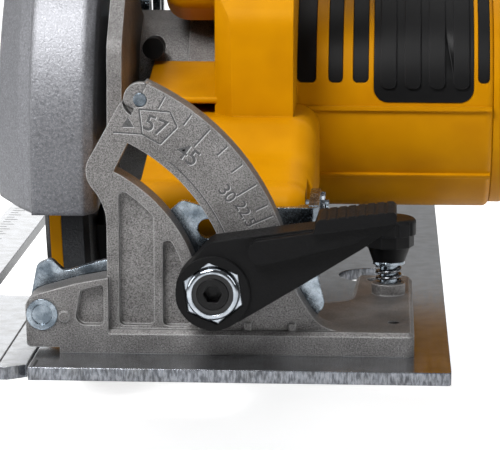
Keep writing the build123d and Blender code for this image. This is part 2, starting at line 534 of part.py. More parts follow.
def spindle():
    shaft = rod_x(SPINDLE_R, BLADE_RIGHT, 43.3, ARBOR_Y, ARBOR_Z)
    nose = rod_x(7.9, BLADE_LEFT - 0.4, BLADE_RIGHT, ARBOR_Y, ARBOR_Z) - rod_x(4.0, -8, 14, ARBOR_Y, ARBOR_Z)
    return shaft - rod_x(4.0, -1, 14, ARBOR_Y, ARBOR_Z) + nose


def inner_flange():
    disc = rod_x(21.0, BLADE_RIGHT, 1.9, ARBOR_Y, ARBOR_Z) + rod_x(11.0, 1.9, 6.9, ARBOR_Y, ARBOR_Z)
    disc -= rod_x(SPINDLE_R, -3, 20, ARBOR_Y, ARBOR_Z)
    return disc - rod_x(15.0, BLADE_RIGHT - 1, BLADE_RIGHT + 0.5, ARBOR_Y, ARBOR_Z)


def outer_flange():
    disc = rod_x(19.0, -4.2, BLADE_LEFT, ARBOR_Y, ARBOR_Z) + rod_x(11.0, -6.0, -4.2, ARBOR_Y, ARBOR_Z)
    return disc - rod_x(4.0, -20, 0, ARBOR_Y, ARBOR_Z) - rod_x(8.0, BLADE_LEFT - 0.7, 0, ARBOR_Y, ARBOR_Z)


def arbor_bolt():
    head = side_prism(Pos(ARBOR_Y, ARBOR_Z) * hexagon(13.0), -12.2, -7.4) + rod_x(10.0, -7.4, -6.0, ARBOR_Y, ARBOR_Z)
    return head + rod_x(4.0, -6.0, 13.5, ARBOR_Y, ARBOR_Z) - side_prism(
        Pos(ARBOR_Y, ARBOR_Z) * hexagon(6.0), -13, -8.6)


def blade():
    """Steel disc with a gullet in front of each tooth."""
    points = []
    step = 360 / TEETH
    for i in range(TEETH):
        a = i * step
        for r, da in ((BLADE_R - 0.6, 0), (BLADE_R - 1.6, 5.0), (BLADE_R - 3.5, 8.2), (BLADE_R - 9.5, 10.6),
                      (BLADE_R - 11.0, 12.4), (BLADE_R - 9.5, 13.9), (BLADE_R - 3.6, 14.1)):
            points.append(polar(r, a + da))
    disc = make_face(Polyline(*points, close=True))
    for i in range(4):
        slit = Pos(*polar(BLADE_R - 14, 45 + 90 * i)) * Rot(0, 0, 45 + 90 * i) * Rectangle(18, 0.8)
        disc -= slit
        disc -= Pos(*polar(BLADE_R - 24, 45 + 90 * i)) * Circle(2.2)
    disc -= Circle(7.95)
    return side_prism(Pos(ARBOR_Y, ARBOR_Z) * disc, BLADE_LEFT, BLADE_RIGHT)


def blade_tips():
    """Carbide tips, each seated on the face of its tooth."""
    tips = []
    step = 360 / TEETH
    for i in range(TEETH):
        seat = Polyline(polar(BLADE_R - 0.6, i * step), polar(BLADE_R - 3.6, (i * step) - 0.9),
                        polar(BLADE_R - 3.6, i * step - 2.2), polar(BLADE_R, i * step - 1.6), close=True)
        tips.append(side_prism(Pos(ARBOR_Y, ARBOR_Z) * make_face(seat), BLADE_X - 0.9, BLADE_X + 0.9))
    return tips


# ---------------------------------------------------------------- gear case and motor
def gear_case():
    """Aluminium case between the guard and the motor, with the boss the lower guard turns on."""
    profile = case_outline(24.5, 29.0)
    case = side_prism(profile, 9.0, 36.0)
    case += rod_x(BOSS_R, 2.4, 12, ARBOR_Y, ARBOR_Z) + case_web()
    case -= side_prism(case_outline(22.3, 26.4), 18.0, 37.0)
    case -= rod_x(17.5, 7.0, 19, ARBOR_Y, ARBOR_Z)
    case -= rod_x(15.0, 0, 8, ARBOR_Y, ARBOR_Z)
    case -= rod_x(5.0, 12, 20, MOTOR_Y, MOTOR_Z)
    groove = rod_x(30, 2.5, 3.3, ARBOR_Y, ARBOR_Z) - rod_x(BOSS_R - 0.6, 0, 6, ARBOR_Y, ARBOR_Z)
    case -= groove
    return case - rod_y(2.56, 130, 160, LOCK_X, LOCK_Z)


def case_outline(arbor_r, motor_r):
    """Hull of the two axes' circles, in the (y, z) plane."""
    spread = hypot(MOTOR_Y - ARBOR_Y, MOTOR_Z - ARBOR_Z)
    lean = degrees(asin((motor_r - arbor_r) / spread))
    along = degrees(MOTOR_DIR)
    a0, a1 = along - 90 - lean, along + 90 + lean
    motor_low, motor_mid, motor_high = (polar(motor_r, a) for a in (a0, along, a1))
    arbor_low, arbor_mid, arbor_high = (polar(arbor_r, a) for a in (a0, along + 180, a1))

    def at_motor(p):
        return (MOTOR_Y + p[0], MOTOR_Z + p[1])

    def at_arbor(p):
        return (ARBOR_Y + p[0], ARBOR_Z + p[1])

    return make_face([
        ThreePointArc(at_motor(motor_low), at_motor(motor_mid), at_motor(motor_high)),
        Line(at_motor(motor_high), at_arbor(arbor_high)),
        ThreePointArc(at_arbor(arbor_high), at_arbor(arbor_mid), at_arbor(arbor_low)),
        Line(at_arbor(arbor_low), at_motor(motor_low))])


def case_cover():
    """Bearing plate that closes the gear case on the motor's side."""
    cover = side_prism(case_outline(24.5, 34.0), 36.0, 46.0)
    cover -= rod_x(11.0, 37.0, 43.6, ARBOR_Y, ARBOR_Z)
    cover -= rod_x(8.2, 35, 40, ARBOR_Y, ARBOR_Z)
    cover -= rod_x(11.0, 38.5, 47, MOTOR_Y, MOTOR_Z)
    return cover - rod_x(6.2, 35, 40, MOTOR_Y, MOTOR_Z)


def case_web():
    """Web of the casting that runs forward between the guard and the housing."""
    face = outline([(88, 62, 3), (152, 58, 0), (166, 94, 0), (112, 116, 8), (90, 92, 8)])
    return side_prism(face, 13.0, 18.0)


def motor_housing():
    """Yellow moulding: motor barrel, front box, pivot nose and shelf."""
    barrel = rod_x(MOTOR_R, HOUSING_LEFT, HOUSING_RIGHT, MOTOR_Y, MOTOR_Z)
    barrel = fillet(barrel.edges().sort_by(Axis.X)[-1], 2.5)
    box_face = outline([(100, 62, 2), (MOTOR_Y, 62, 0), (MOTOR_Y, 118, 0), (112, 118, 10), (101, 100, 14)])
    box_plan = outline([(48, MOTOR_Y, 0), (48, 107.0, 0), (54.5, 100.0, 0), (75, 100.0, 0), (75, MOTOR_Y, 0)])
    box = side_prism(box_face, 48.0, 75.0) & plan_prism(box_plan, 50, 130)
    nose_face = outline([
        (DEPTH_Y - 9, DEPTH_Z - 8, 8), (86, 32.0, 20), (140, 30.0, 0), (150, 60, 0), (140, 67.0, 0), (97, 67.0, 8),
        (84, 56.0, 14), (DEPTH_Y + 4, DEPTH_Z + 9.5, 8), (DEPTH_Y - 9, DEPTH_Z + 9, 8.5)])
    nose = side_prism(nose_face, 27.0, 83.0)
    right_top = nose.edges().filter_by(
        lambda e: abs(e.center().X - 83) < 0.1 and e.center().Z > 55)
    nose = fillet(right_top, 8.0) - block(80.8, 90.0, 40, 72, 0, 90)
    shelf = side_prism(outline([(106, 70.4, 1), (150, 72, 0), (150, 82, 0), (106, 72.6, 1)]), 24.0, 50.0)
    body = barrel + box + nose + shelf + block(50, 73, 104, 128, 116.0, 130.0)
    # ridges along the barrel's front
    for deg in (181.0, 217.5):
        y, z = polar(MOTOR_R - 1.0, deg)
        ridge = Pos(110.5, MOTOR_Y + y, MOTOR_Z + z) * Rot(deg - 180, 0, 0) * Box(66.0, 4.4, 1.6)
        body += ridge
    # hollow for the motor, the case cover and the gear case
    body -= rod_x(MOTOR_R - MOTOR_WALL, HOUSING_LEFT + 4, HOUSING_RIGHT + 1, MOTOR_Y, MOTOR_Z)
    body -= rod_x(12.0, HOUSING_LEFT - 1, HOUSING_LEFT + 5, MOTOR_Y, MOTOR_Z)
    body -= side_prism(case_outline(24.6, 34.1), 10.0, 46.0)
    body -= rod_x(DEPTH_PIN_R + 0.06, 0, 120, DEPTH_Y, DEPTH_Z)
    body -= rod_x(24.6, 0, 46.2, ARBOR_Y, ARBOR_Z)
    # louvres on the barrel's upper front
    for x0, x1 in LOUVRES:
        body -= louvre(x0, x1, LOUVRE_LOW, 1.8)
    return body - louvre(PAD_X0, PAD_X1, PAD_LOW, 5.0)


def louvre(x0, x1, low, corner):
    """Round-cornered prism along Y that cuts a window in the barrel's front."""
    face = outline([(x0, low, corner), (x1, low, corner), (x1, LOUVRE_TOP, 1), (x0, LOUVRE_TOP, 1)])
    return front_prism(face, MOTOR_Y - MOTOR_R - 4, MOTOR_Y - 8)


def insert(x0, x1, low, corner, proud):
    """Piece of a ring that fills one window, proud of the barrel by a distance."""
    ring = rod_x(MOTOR_R + proud, x0, x1, MOTOR_Y, MOTOR_Z) - rod_x(
        MOTOR_R - MOTOR_WALL + 0.1, x0 - 1, x1 + 1, MOTOR_Y, MOTOR_Z)
    return ring & louvre(x0, x1, low, corner)


def vent_inserts():
    """Black grille pieces that fill the barrel's windows, and a pad with four fins."""
    pieces = [insert(x0 + 0.1, x1 - 0.1, LOUVRE_LOW + 0.1, 1.7, -0.8) for x0, x1 in LOUVRES]
    pad = insert(PAD_X0 + 0.1, PAD_X1 - 0.1, PAD_LOW + 0.1, 4.9, 0.4)
    for i in range(4):
        x = PAD_X0 + 2.4 + 8.5 * i
        pad += insert(x, x + 5.4, PAD_LOW + 5.0, 2.2, 1.5)
    return pieces + [pad]


def end_cap():
    """Black cap that closes the motor barrel."""
    cap = rod_x(MOTOR_R - 1.5, HOUSING_RIGHT, HOUSING_RIGHT + 6.5, MOTOR_Y, MOTOR_Z)
    cap = fillet(cap.edges().sort_by(Axis.X)[-1], 3.0)
    cap += rod_x(MOTOR_R - MOTOR_WALL - 0.05, HOUSING_RIGHT - 3, HOUSING_RIGHT + 1, MOTOR_Y, MOTOR_Z)
    cap -= rod_x(MOTOR_R - 7, HOUSING_RIGHT - 4, HOUSING_RIGHT + 3.5, MOTOR_Y, MOTOR_Z)
    cap += rod_x(14.0, HOUSING_RIGHT - 12.0, HOUSING_RIGHT + 4, MOTOR_Y, MOTOR_Z)
    cap -= rod_x(11.0, HOUSING_RIGHT - 13, HOUSING_RIGHT - 5, MOTOR_Y, MOTOR_Z)
    for i in range(5):
        z = MOTOR_Z - 20 + 10 * i
        cap -= block(HOUSING_RIGHT + 2, HOUSING_RIGHT + 8, MOTOR_Y - 24, MOTOR_Y + 24, z - 2.2, z + 2.2)
    return cap


def cap_screws():
    screws = []
    for deg in (25, 155, 205, 335):
        y, z = polar(MOTOR_R - 4.6, deg)
        x0 = HOUSING_RIGHT + 6.5
        head = rod_x(3.2, x0, x0 + 2.2, MOTOR_Y + y, MOTOR_Z + z)
        recess = rod_x(1.4, x0 + 1.0, x0 + 3, MOTOR_Y + y, MOTOR_Z + z)
        screws.append(head - recess)
    return screws


def stator():
    """Laminated ring with six wound poles."""
    ring = rod_x(MOTOR_R - MOTOR_WALL - 0.02, 74, 116, MOTOR_Y, MOTOR_Z) - rod_x(30.5, 70, 120, MOTOR_Y, MOTOR_Z)
    for i in range(6):
        pole = block(74, 116, -3.5, 3.5, 19.2, 31.5)
        coil = block(70, 120, -7.5, 7.5, 21.5, 30.2)
        ring += Pos(0, MOTOR_Y, MOTOR_Z) * Rot(60 * i, 0, 0) * (pole + coil)
    return ring


def rotor():
    core = rod_x(18.6, 74, 116, MOTOR_Y, MOTOR_Z)
    return core - rod_x(SHAFT_R, 70, 120, MOTOR_Y, MOTOR_Z)


def motor_shaft():
    shaft = rod_x(SHAFT_R, 38.5, 137.5, MOTOR_Y, MOTOR_Z)
    return shaft + rod_x(2.5, 18.5, 38.5, MOTOR_Y, MOTOR_Z)


def fan():
    hub = rod_x(8.0, 56, 68, MOTOR_Y, MOTOR_Z) + rod_x(34.0, 56, 57.5, MOTOR_Y, MOTOR_Z)
    for i in range(11):
        vane = block(57, 66.5, 6.5, 33.4, -0.7, 0.7)
        hub += Pos(0, MOTOR_Y, MOTOR_Z) * Rot(360 * i / 11, 0, 0) * vane
    return hub - rod_x(SHAFT_R, 50, 70, MOTOR_Y, MOTOR_Z)


# ---------------------------------------------------------------- handle
def handle_solid():
    solid = side_prism(outline(HANDLE), HANDLE_X0, HANDLE_X1)
    ends = solid.edges().filter_by(lambda e: e.center().Z > 108 and abs(abs(e.center().X - HANDLE_MID) - 17) < 0.1)
    solid = fillet(ends, 9.0)
    hole = side_prism(outline(HAND_HOLE), HANDLE_X0 - 5, HANDLE_X1 + 5)
    solid -= hole
    rims = solid.edges().filter_by(lambda e: 196 < e.center().Y < 292 and 120 < e.center().Z < 170
                                   and abs(abs(e.center().X - HANDLE_MID) - 17) < 0.1)
    solid = fillet(rims, 5.0)
    return solid - rod_x(MOTOR_R + 0.02, 20, 80, MOTOR_Y, MOTOR_Z) - block(47, 76, 90, 176, 60, 118.02)


def handle_core():
    """Space inside the handle, 3 mm in from its faces."""
    return side_prism(outline([(168, 128, 6), (180, 174, 14), (230, 193, 20), (300, 165, 14), (316, 138, 8),
                               (312, 108, 3), (298, 108, 3), (298, 140, 6), (286, 152, 8), (214, 176, 8),
                               (186, 158, 10), (192, 128, 4)]),
                      HANDLE_X0 + 4, HANDLE_X1 - 4)


def grip_band():
    """Region of the grip that is covered by the soft overmould."""
    return side_prism(outline([(236, 140, 0), (300, 132, 0), (330, 132, 0), (330, 215, 0), (226, 215, 0)]),
                      HANDLE_X0 - 1, HANDLE_X1 + 1)


def trigger_shape(swell=0.0):
    profile = outline([(203 - swell, 170 + swell, 0), (200 - swell, 158 - swell, 5), (209, 149 - swell, 6),
                       (226 + swell, 158 - swell, 4), (232 + swell, 164, 0), (232 + swell, 172 + swell, 0)])
    return side_prism(profile, HANDLE_MID - 8 - swell, HANDLE_MID + 8 + swell)


def trigger():
    hub = rod_x(4.0, HANDLE_MID - 8, HANDLE_MID + 8, TRIGGER_Y, TRIGGER_Z)
    return trigger_shape() + hub + rod_x(TRIGGER_PIN_R, HANDLE_MID - 11.6, HANDLE_MID + 11.6, TRIGGER_Y, TRIGGER_Z)


def trigger_room():
    """Space the trigger sweeps as it is squeezed."""
    room = trigger_shape(0.6)
    for step in (4, 8, 12):
        room += Pos(0, TRIGGER_Y, TRIGGER_Z) * Rot(-step, 0, 0) * Pos(0, -TRIGGER_Y, -TRIGGER_Z) * trigger_shape(0.6)
    room += rod_x(5.0, HANDLE_MID - 8.6, HANDLE_MID + 8.6, TRIGGER_Y, TRIGGER_Z)
    return room


def trigger_bosses():
    """Bosses inside the shells that carry the trigger's stub pins."""
    return rod_x(3.6, HANDLE_MID - 13.5, HANDLE_MID - 8.7, TRIGGER_Y, TRIGGER_Z) + rod_x(
        3.6, HANDLE_MID + 8.7, HANDLE_MID + 13.5, TRIGGER_Y, TRIGGER_Z)


def key_clips():
    """Two clips on the left shell that hold the hex key."""
    clips = [block(KEY_X - 4.4, HANDLE_X0 + 0.5, y, y + 5, KEY_Z - 4.4, KEY_Z + 4.4) for y in KEY_CLIPS]
    return clips[0] + clips[1] - front_prism(Pos(KEY_X, KEY_Z) * hexagon(KEY_AF + 0.16), 200, 310)


def handle_shells():
    solid = handle_solid()
    skin_region = grip_band() - handle_soft_core()
    soft_skin = solid & skin_region
    hard = solid - skin_region - handle_core() + trigger_bosses() + key_clips() - trigger_room()
    hard -= rod_x(5.3, 0, 100, LOCKOFF_Y, LOCKOFF_Z)
    hard -= rod_x(2.0, HANDLE_MID - 12, HANDLE_MID + 12, TRIGGER_Y, TRIGGER_Z)
    soft_skin -= trigger_room()
    for y, z in HANDLE_SCREWS:
        hard -= rod_x(3.4, 0, HANDLE_X0 + 2.2, y, z)
        hard -= rod_x(1.5, 0, HANDLE_X0 + 8, y, z)
    left = hard & block(0, HANDLE_MID, 60, 400, 0, 300)
    right = hard & block(HANDLE_MID, 120, 60, 400, 0, 300)
    return biggest(left), biggest(right), biggest(soft_skin)


def handle_soft_core():
    """What is left of the grip below the overmould, 1.6 mm in."""
    return side_prism(outline([(210, 174.0, 6), (287, 149.2, 10), (296, 124, 8), (310, 124, 6), (321.5, 139, 14),
                               (304.5, 168.4, 20), (232, 198.0, 30), (200, 190, 10)]),
                      HANDLE_X0 + 1.6, HANDLE_X1 - 1.6)


def biggest(shape):
    return sorted(shape.solids(), key=lambda s: s.volume)[-1]


def handle_screws():
    screws = []
    for y, z in HANDLE_SCREWS:
        head = rod_x(3.3, HANDLE_X0 + 0.6, HANDLE_X0 + 2.2, y, z)
        shank = rod_x(1.5, HANDLE_X0 + 2.2, HANDLE_X0 + 8, y, z)
        recess = rod_x(1.3, HANDLE_X0, HANDLE_X0 + 1.6, y, z)
        screws.append(head + shank - recess)
    return screws


def lockoff_button():
    return rod_x(5.0, HANDLE_X0 - 3.5, HANDLE_X1 + 3.5, LOCKOFF_Y, LOCKOFF_Z)


def switch_module():
    """Switch behind the trigger, inside the grip."""
    return block(HANDLE_X0 + 4, HANDLE_X1 - 4, 241, 263, 169.0, 177.5)


# ---------------------------------------------------------------- battery
def battery_foot():
    """Slide-on seat for the pack: a plate with two rails, and the controller's housing beside the handle."""
    plan = outline([(FOOT_X0, FOOT_Y0, 5), (FOOT_X1, FOOT_Y0, 5), (FOOT_X1, FOOT_Y1, 8), (FOOT_X0, FOOT_Y1, 8)])
    foot = plan_prism(plan, FOOT_Z0, HANDLE_LOW)
    cover_plan = outline([(HANDLE_X1 + 0.02, FOOT_Y0, 0), (FOOT_X1, FOOT_Y0, 5), (FOOT_X1, FOOT_Y1, 8),
                          (HANDLE_X1 + 0.02, FOOT_Y1, 0)])
    cover = plan_prism(cover_plan, HANDLE_LOW, HANDLE_LOW + 12)
    cover = chamfer(cover.faces().sort_by(Axis.Z)[-1].edges(), 2.5)
    cover -= block(HANDLE_X1 + 4, FOOT_X1 - 4, FOOT_Y0 + 6, FOOT_Y1 - 8, HANDLE_LOW, HANDLE_LOW + 8)
    for x0, x1 in ((FOOT_X0 + 10, FOOT_X0 + 14), (FOOT_X1 - 14, FOOT_X1 - 10)):
        foot += block(x0, x1, FOOT_Y0 + 8, FOOT_Y1 - 6, FOOT_Z0 - 5.2, FOOT_Z0)
    arm = side_prism(outline([(196, 78, 4), (236, FOOT_Z0 - 1, 2), (236, HANDLE_LOW + 11, 0),
                              (190, HANDLE_LOW + 11, 0)]), 66, 100)
    arm -= rod_x(MOTOR_R, 20, 160, MOTOR_Y, MOTOR_Z)
    arm -= block(60, 110, FOOT_Y0 + 1, 240, 80, 130)
    return foot + cover + arm


def battery_shells():
    x0, x1, y0, y1 = FOOT_X0 + 1, FOOT_X1 - 1, FOOT_Y0 + 3, FOOT_Y1 + 4
    top = FOOT_Z0 - 0.4
    seam = PACK_Z0 + 26
    plan = outline([(x0, y0, 6), (x1, y0, 6), (x1, y1, 9), (x0, y1, 9)])
    body = plan_prism(plan, PACK_Z0, top)
    body = chamfer(body.faces().sort_by(Axis.Z)[0].edges(), 3.0)
    body -= block(x0 + 3, x1 - 3, y0 + 3, y1 - 3, PACK_Z0 + 3, top - 9)
    for a, b in ((FOOT_X0 + 9.4, FOOT_X0 + 14.6), (FOOT_X1 - 14.6, FOOT_X1 - 9.4)):
        body -= block(a, b, y0 - 1, FOOT_Y1 - 5.4, top - 6.0, top + 1)
    body -= block((x0 + x1) / 2 - 16, (x0 + x1) / 2 + 16, y0 - 1, FOOT_Y0 + 28, top - 7, top + 1)
    body -= block((x0 + x1) / 2 - 13, (x0 + x1) / 2 + 13, y1 - 10.5, y1 + 1, seam + 4, seam + 15)
    lower = body & block(0, 200, 200, 400, 0, seam)
    upper = body & block(0, 200, 200, 400, seam, 200)
    return lower, upper


def battery_cells():
    cells = []
    for i in range(3):
        for x0 in (FOOT_X0 + 5.5, FOOT_X0 + 38.5):
            y = FOOT_Y0 + 18 + 21 * i
            cells.append(rod_x(9.2, x0, x0 + 32, y, PACK_Z0 + 13.6))
    return cells


def battery_latch():
    mid = (FOOT_X0 + FOOT_X1) / 2
    y1 = FOOT_Y1 + 4
    seam = PACK_Z0 + 26
    key = block(mid - 12.5, mid + 12.5, y1 - 5.5, y1 + 1.5, seam + 4.5, seam + 14.0)
    return chamfer(key.faces().sort_by(Axis.Y)[-1].edges(), 1.0)


# ---------------------------------------------------------------- front handle, hook, key, levers
def front_grip():
    grip = Pos(57, 114, 142) * Rot(0, 90, 0) * Cylinder(15.5, 72)
    grip = fillet(grip.edges(), 11)
    return grip - block(50, 73, 104, 128, 116.0, 130.0)


def spindle_lock():
    """Push button on the gear case that holds the spindle for blade changes."""
    return rod_y(3.8, 137.0, 144.5, LOCK_X, LOCK_Z) + rod_y(2.5, 144.5, 153.0, LOCK_X, LOCK_Z)


def depth_lever():
    """Clamp lever on the depth strap."""
    x0, x1 = STRAP_X + STRAP_T + 1.6, 21.6
    hub = rod_x(8.0, x0, x1, CLAMP_Y, CLAMP_Z)
    arm = side_prism(outline([(CLAMP_Y - 5, CLAMP_Z - 7, 5), (CLAMP_Y + 34, CLAMP_Z - 22, 4),
                              (CLAMP_Y + 40, CLAMP_Z - 14, 4), (CLAMP_Y + 4, CLAMP_Z + 8, 6)]),
                     x0 + 2, x1)
    return hub + arm - rod_x(3.06, 0, 60, CLAMP_Y, CLAMP_Z)


def depth_bolt():
    return rod_x(3.0, 6.0, 24.6, CLAMP_Y, CLAMP_Z) + rod_x(4.7, 5.3, 6.5, CLAMP_Y, CLAMP_Z)


def hex_key():
    """L-shaped key held under the handle's bridge."""
    long_leg = front_prism(Pos(KEY_X, KEY_Z) * hexagon(KEY_AF), 214, 300)
    short_leg = plan_prism(Pos(KEY_X, 300 - KEY_AF / 2) * Rot(0, 0, 30) * hexagon(KEY_AF), KEY_Z - 22, KEY_Z)
    return long_leg + short_leg


def guard_screws():
    screws = []
    for y, z in ((ARBOR_Y + 8, ARBOR_Z + 62), (ARBOR_Y - 52, ARBOR_Z + 46), (ARBOR_Y + 52, ARBOR_Z + 40)):
        screws.append(rod_x(3.4, 9.0, 12.4, y, z) - side_prism(Pos(y, z) * hexagon(3.4), 10.6, 13))
    return screws


def guard_spring():
    """Torsion spring round the boss, with one leg on each guard."""
    x, r, wire = 5.7, 23.6, 0.62
    turn = Pos(x, ARBOR_Y, ARBOR_Z) * Rot(0, 90, 0) * Torus(r, wire)
    gap = side_prism(Pos(ARBOR_Y, ARBOR_Z) * arc_band(15, 32, 118, 196), x - 2, x + 2)
    turn -= gap
    for deg, length in ((118, 26), (196, 22)):
        leg = Pos(x, 0, 0) * Cylinder(wire, length, align=(Align.CENTER, Align.CENTER, Align.MIN))
        turn += Pos(0, ARBOR_Y, ARBOR_Z) * Rot(deg - 90, 0, 0) * Pos(0, 0, r - 0.3) * leg
    return turn


# ---------------------------------------------------------------- the whole saw
def shoe_parts():
    rivets = [rivet(x, y, FLANGE_TOP - 1.6) for x, y in RIVETS]
    rivets += [rivet(x, y, SHOE_T + 3.2) for x, y in REAR_RIVETS]
    rear_pin = rod_y(HINGE_PIN_R, 288.0, 299.6, HINGE_X, HINGE_Z) + rod_y(4.6, 298.4, 300.0, HINGE_X, HINGE_Z)
    return {
        "shoe_plate": shoe_plate(),
        "bevel_quadrant": bevel_quadrant(),
        "shoe_rivets": rivets,
        "hinge_pins": [tube_pin(FLANGE_FRONT + 0.3, BRACKET_FRONT + BRACKET_T + 1.4, 4.0), rear_pin],
        "stop_rivet": stop_rivet(),
        "bevel_stop": stop_cam(),
        "rear_bracket": rear_bracket(),
        "clamp_knob": clamp_knob(),
        "clamp_screw": clamp_screw(),
        "clamp_washer": washer_z(CLAMP_SCREW_R + 0.06, 5.4, 21.5, 22.5, CLAMP_X, CLAMP_SCREW_Y),
        "clamp_spring": coil_z(3.9, 0.55, CLAMP_BOSS_TOP + 0.6, 20.9, 2.6, CLAMP_X, CLAMP_SCREW_Y),
    }


def tilt_parts():
    return {
        "tilt_bracket": tilt_bracket(),
        "depth_strap": depth_strap(),
        "depth_pivot_pin": depth_pin(),
        "pivot_pin_clip": pin_clip(),
        "bevel_lock_bolt": lock_bolt(),
        "slot_washer": slot_washer(),
        "bevel_lever": bevel_lever(),
        "lock_nut": lock_nut(),
        "lock_nut_insert": nut_insert(),
    }


def guard_parts():
    return {
        "upper_guard": upper_guard(),
        "dust_port": dust_port(),
        "lower_guard": lower_guard(),
        "guard_lever": guard_lever(),
        "guard_ring": guard_ring(),
        "guard_spring": guard_spring(),
        "depth_bolt": depth_bolt(),
        "depth_lever": depth_lever(),
    }


def drive_parts():
    return {
        "blade": blade(),
        "blade_tips": blade_tips(),
        "blade_flanges": [inner_flange(), outer_flange()],
        "arbor_bolt": arbor_bolt(),
        "spindle": spindle(),
        "drive_gear": drive_gear(),
        "ball_bearings": [
            bearing(SPINDLE_R + RUNNING, 17.5, 7.0, 18.0, ARBOR_Y, ARBOR_Z),
            bearing(SPINDLE_R + RUNNING, 11.0, 37.2, 43.4, ARBOR_Y, ARBOR_Z),
            bearing(SHAFT_R + RUNNING, 11.0, 38.7, 45.7, MOTOR_Y, MOTOR_Z),
            bearing(SHAFT_R + RUNNING, 11.0, HOUSING_RIGHT - 12, HOUSING_RIGHT - 5.2, MOTOR_Y, MOTOR_Z)],
        "pinion": pinion(),
        "motor_shaft": motor_shaft(),
        "rotor": rotor(),
        "cooling_fan": fan(),
        "stator": stator(),
        "spindle_lock": spindle_lock(),
    }


def casing_parts():
    left_shell, right_shell, overmould = handle_shells()
    pack_lower, pack_upper = battery_shells()
    return {
        "gear_case": gear_case(),
        "gear_case_cover": case_cover(),
        "motor_housing": motor_housing(),
        "vent_inserts": vent_inserts(),
        "end_cap": end_cap(),
        "screws": cap_screws() + handle_screws() + guard_screws(),
        "front_grip": front_grip(),
        "handle_left": left_shell,
        "handle_right": right_shell,
        "grip_overmould": overmould,
        "trigger": trigger(),
        "lock_off_button": lockoff_button(),
        "switch_module": switch_module(),
        "battery_foot": battery_foot(),
        "battery_base": pack_lower,
        "battery_cover": pack_upper,
        "battery_cells": battery_cells(),
        "battery_latch": battery_latch(),
        "hex_key": hex_key(),
    }


def build():
    return {**shoe_parts(), **tilt_parts(), **guard_parts(), **drive_parts(), **casing_parts()}


def write(parts):
    os.makedirs("parts", exist_ok=True)
    for name, shape in parts.items():
        if isinstance(shape, list):
            placed = Compound(children=[TO_SOLE_CENTRE * s for s in shape])
        else:
            placed = TO_SOLE_CENTRE * shape
        export_step(placed, f"parts/{name}.step")


if __name__ == "__main__":
    write(build())
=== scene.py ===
"""Cordless circular saw: finishes, engraved scales, moulded detail, studio light and camera."""
import json
import math

import bmesh
import bpy
from mathutils import Matrix, Vector


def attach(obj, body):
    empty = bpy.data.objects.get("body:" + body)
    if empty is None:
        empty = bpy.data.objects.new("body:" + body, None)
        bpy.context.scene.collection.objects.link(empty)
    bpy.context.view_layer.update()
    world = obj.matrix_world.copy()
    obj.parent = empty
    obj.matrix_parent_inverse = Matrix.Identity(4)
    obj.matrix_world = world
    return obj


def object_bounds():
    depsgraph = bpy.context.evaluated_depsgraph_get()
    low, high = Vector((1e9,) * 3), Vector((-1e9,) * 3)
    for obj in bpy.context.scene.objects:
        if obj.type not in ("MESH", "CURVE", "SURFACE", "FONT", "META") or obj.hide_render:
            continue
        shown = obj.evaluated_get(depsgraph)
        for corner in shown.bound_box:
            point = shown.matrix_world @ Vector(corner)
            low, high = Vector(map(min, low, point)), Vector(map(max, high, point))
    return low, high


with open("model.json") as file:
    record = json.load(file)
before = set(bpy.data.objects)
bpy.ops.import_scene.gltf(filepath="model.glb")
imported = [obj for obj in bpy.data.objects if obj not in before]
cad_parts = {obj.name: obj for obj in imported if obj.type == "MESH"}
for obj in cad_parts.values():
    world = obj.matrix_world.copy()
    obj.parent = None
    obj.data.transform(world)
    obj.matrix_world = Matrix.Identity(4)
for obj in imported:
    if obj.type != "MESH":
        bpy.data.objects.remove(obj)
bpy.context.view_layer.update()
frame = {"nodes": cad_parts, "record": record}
record = frame["record"]
nodes = frame["nodes"]

# ---------------------------------------------------------------- dimensions, in millimetres
# Saw frame: x = 0 at the cut line, y = 0 at the shoe's front edge, z = 0 at the sole.
SOLE_CENTRE = Vector((39.0, 151.0, 0.0))


def joint_place(name):
    """A joint's place in the saw frame, rounded to a micron."""
    joint = next(j for j in record["behaviour"]["joints"] if j["name"] == name)
    spot = Vector(joint["pos_m"]) * 1000 + SOLE_CENTRE
    return [round(c, 3) for c in spot]


HINGE_X, _, HINGE_Z = joint_place("bevel_tilt")
_, ARBOR_Y, ARBOR_Z = joint_place("blade_spin")
_, STRAP_Y, STRAP_Z = joint_place("depth_swing")
STRAP_R, STRAP_FACE = 230.0, 13.4              # depth strap's mean radius and right face
WALL_FRONT = 22.0                              # front face of the bevel quadrant's wall
ARC_R, SLOT_R = 79.2, 60.0                     # quadrant's rim and its slot's middle
SHOE_TOP, SHOE_EDGE = 4.0, -46.5               # top face, and where the ruler's marks start
LUG_FRONT, PIN_HEAD_R = 19.1, 4.9              # front hinge lug's face and its pin's head
LOWER_R, GUARD_LEFT = 95.5, -28.0              # lower guard's rim and upper guard's left face
GRIP_AXIS, GRIP_R = (114.0, 142.0), 15.5       # front grip, along x
PORT_AXIS, PORT_R, PORT_END = (-9.5, 112.0), 18.4, 318.0     # dust port, along y
PACK_LEFT, PACK_RIGHT, PACK_BACK = 33.0, 107.0, 322.0        # battery pack's faces
MARK = 0.06                                    # how far a mark stands off the face it is on
LINE = 0.5                                     # width of a fine mark


def at(x, y, z):
    """A point of the saw frame, in metres, in the row frame."""
    return (Vector((x, y, z)) - SOLE_CENTRE) / 1000


def linear(value):
    """Linear intensity from an 8-bit display value."""
    return ((value / 255 + 0.055) / 1.055) ** 2.4 if value > 10 else value / 255 / 12.92


def srgb(r, g, b):
    """Linear colour from 8-bit display values."""
    return linear(r), linear(g), linear(b), 1.0


